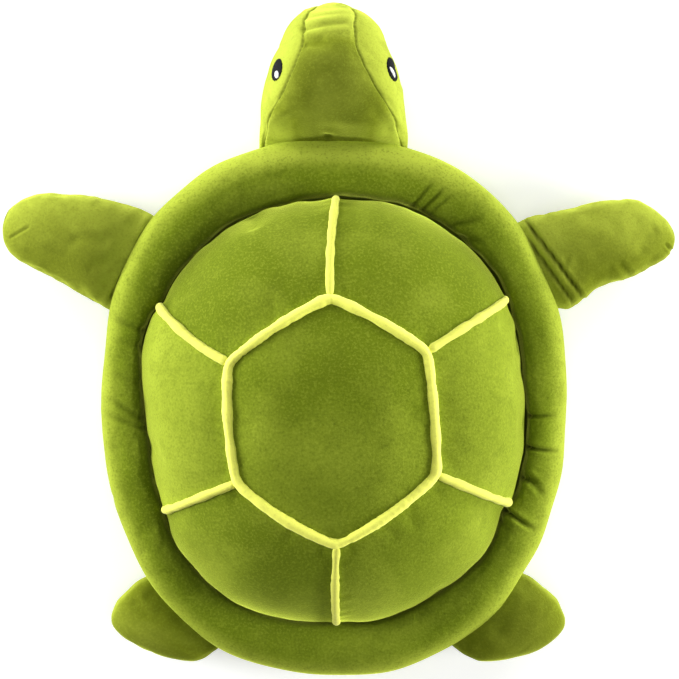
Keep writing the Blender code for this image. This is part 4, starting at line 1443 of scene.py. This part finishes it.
class TURTLE_OT_head(Maker, bpy.types.Operator):
    """Makes the stuffed head with its seams and wrinkles"""

    bl_idname = "turtle.head"
    bl_label = "Head"

    def execute(self, context):
        form, look = head_form(), context.scene.turtle_sewing
        fineness = HEAD_SIM_SHAPE, HEAD_SHAPE
        sewing = look, look.head_growth, 101, HEAD_SEAM_DEPTH, "head", FOLDS["head"]
        made = form_piece(form, fineness, head_seams, *sewing)
        nodes = ["head_top_gusset", "head_left_panel", "head_right_panel", "head_chin_panel", "head_stuffing"]
        pile = material_named("limb_pile", context)
        cover = finish_padded("head_cover", made, None, pile, nodes)
        black = thread_material("black_thread", (0.002, 0.0022, 0.003), (0.012, 0.013, 0.017))
        white = thread_material("white_thread", (0.72, 0.73, 0.74), (0.9, 0.9, 0.9))
        for side in EYES:
            embroider_eye(side, form, cover, black, white)
        sew_to_shell(cover)
        return {"FINISHED"}


class TURTLE_OT_limbs(Maker, bpy.types.Operator):
    """Makes the two front flippers and the two rear feet"""

    bl_idname = "turtle.limbs"
    bl_label = "Flippers and feet"

    def execute(self, context):
        look, pile = context.scene.turtle_sewing, material_named("limb_pile", context)
        fineness = LIMB_SIM_SHAPE, LIMB_SHAPE
        for index, name in enumerate(("left_flipper", "right_flipper", "left_foot", "right_foot")):
            side, kind = name.split("_")
            form = limb_form(kind, side)
            sewing = look, look.cloth_growth, 121 + 10 * index, LIMB_SEAM_DEPTH, kind, FOLDS[name]
            made = form_piece(form, fineness, limb_seams, *sewing)
            nodes = [f"{name}_top_panel", f"{name}_bottom_panel", f"{name}_stuffing"]
            cover = finish_padded(f"{name}_cover", made, None, pile, nodes)
            sew_to_shell(cover)
        return {"FINISHED"}


class TURTLE_OT_stage(Maker, bpy.types.Operator):
    """Makes the floor, the soft studio light and the camera"""

    bl_idname = "turtle.stage"
    bl_label = "Stage"

    def execute(self, context):
        stage = context.scene.turtle_stage
        bpy.ops.object.select_all(action="DESELECT")
        bpy.ops.mesh.primitive_plane_add(size=8, location=(0, 0, 0))
        floor = context.object
        floor.name = "studio_floor"
        floor.data.materials.append(floor_material(stage))
        for name, place, size, power in (
            ("head_end_light", (0.0, 1.5, 0.6), 0.9, stage.key_power),
            ("left_light", (-1.65, 0.25, 0.36), 0.6, stage.side_power),
            ("right_light", (1.62, -0.3, 0.36), 0.6, stage.side_power),
            ("top_light", (0.0, -0.2, 1.7), 1.0, stage.top_power),
            ("front_left_light", (-1.3, 1.15, 0.24), 0.6, stage.corner_power),
            ("front_right_light", (1.3, 1.15, 0.24), 0.6, stage.corner_power),
        ):
            bpy.ops.object.light_add(type="AREA", location=place)
            lamp = context.object
            lamp.name = name
            lamp.data.size = size
            lamp.data.energy = power
            lamp.rotation_euler = (-Vector(place)).to_track_quat("-Z", "Y").to_euler()
        bpy.ops.object.camera_add(location=CAMERA_PLACE, rotation=(math.radians(CAMERA_LEAN_DEG), 0, 0))
        camera = context.object
        camera.data.lens = CAMERA_LENS
        context.scene.camera = camera
        light_room(context.scene, stage.room_light)
        context.scene.view_settings.view_transform = "Standard"
        return {"FINISHED"}


class TURTLE_PT_panel(bpy.types.Panel):
    bl_idname = "TURTLE_PT_panel"
    bl_label = "Plush turtle"
    bl_space_type = "VIEW_3D"
    bl_region_type = "UI"
    bl_category = "Turtle"

    def draw(self, context):
        layout = self.layout
        for group, _ in GROUPS:
            settings = getattr(context.scene, group)
            box = layout.box()
            for name in settings.__annotations__:
                box.prop(settings, name)
        for operator in OPERATORS:
            layout.operator(operator.bl_idname)


GROUPS = (("turtle_look", TurtleLook), ("turtle_sewing", TurtleSewing), ("turtle_stage", TurtleStage))
OPERATORS = (
    TURTLE_OT_stage,
    TURTLE_OT_shell_panels,
    TURTLE_OT_rim,
    TURTLE_OT_belly,
    TURTLE_OT_piping,
    TURTLE_OT_head,
    TURTLE_OT_limbs,
)


def register():
    for name, group in GROUPS:
        bpy.utils.register_class(group)
        setattr(bpy.types.Scene, name, bpy.props.PointerProperty(type=group))
    for operator in OPERATORS:
        bpy.utils.register_class(operator)
    bpy.utils.register_class(TURTLE_PT_panel)


def unregister():
    bpy.utils.unregister_class(TURTLE_PT_panel)
    for operator in reversed(OPERATORS):
        bpy.utils.unregister_class(operator)
    for name, group in GROUPS:
        delattr(bpy.types.Scene, name)
        bpy.utils.unregister_class(group)


def main():
    register()
    for operator in OPERATORS:
        family, name = operator.bl_idname.split(".")
        getattr(getattr(bpy.ops, family), name)()


if __name__ == "__main__":
    main()
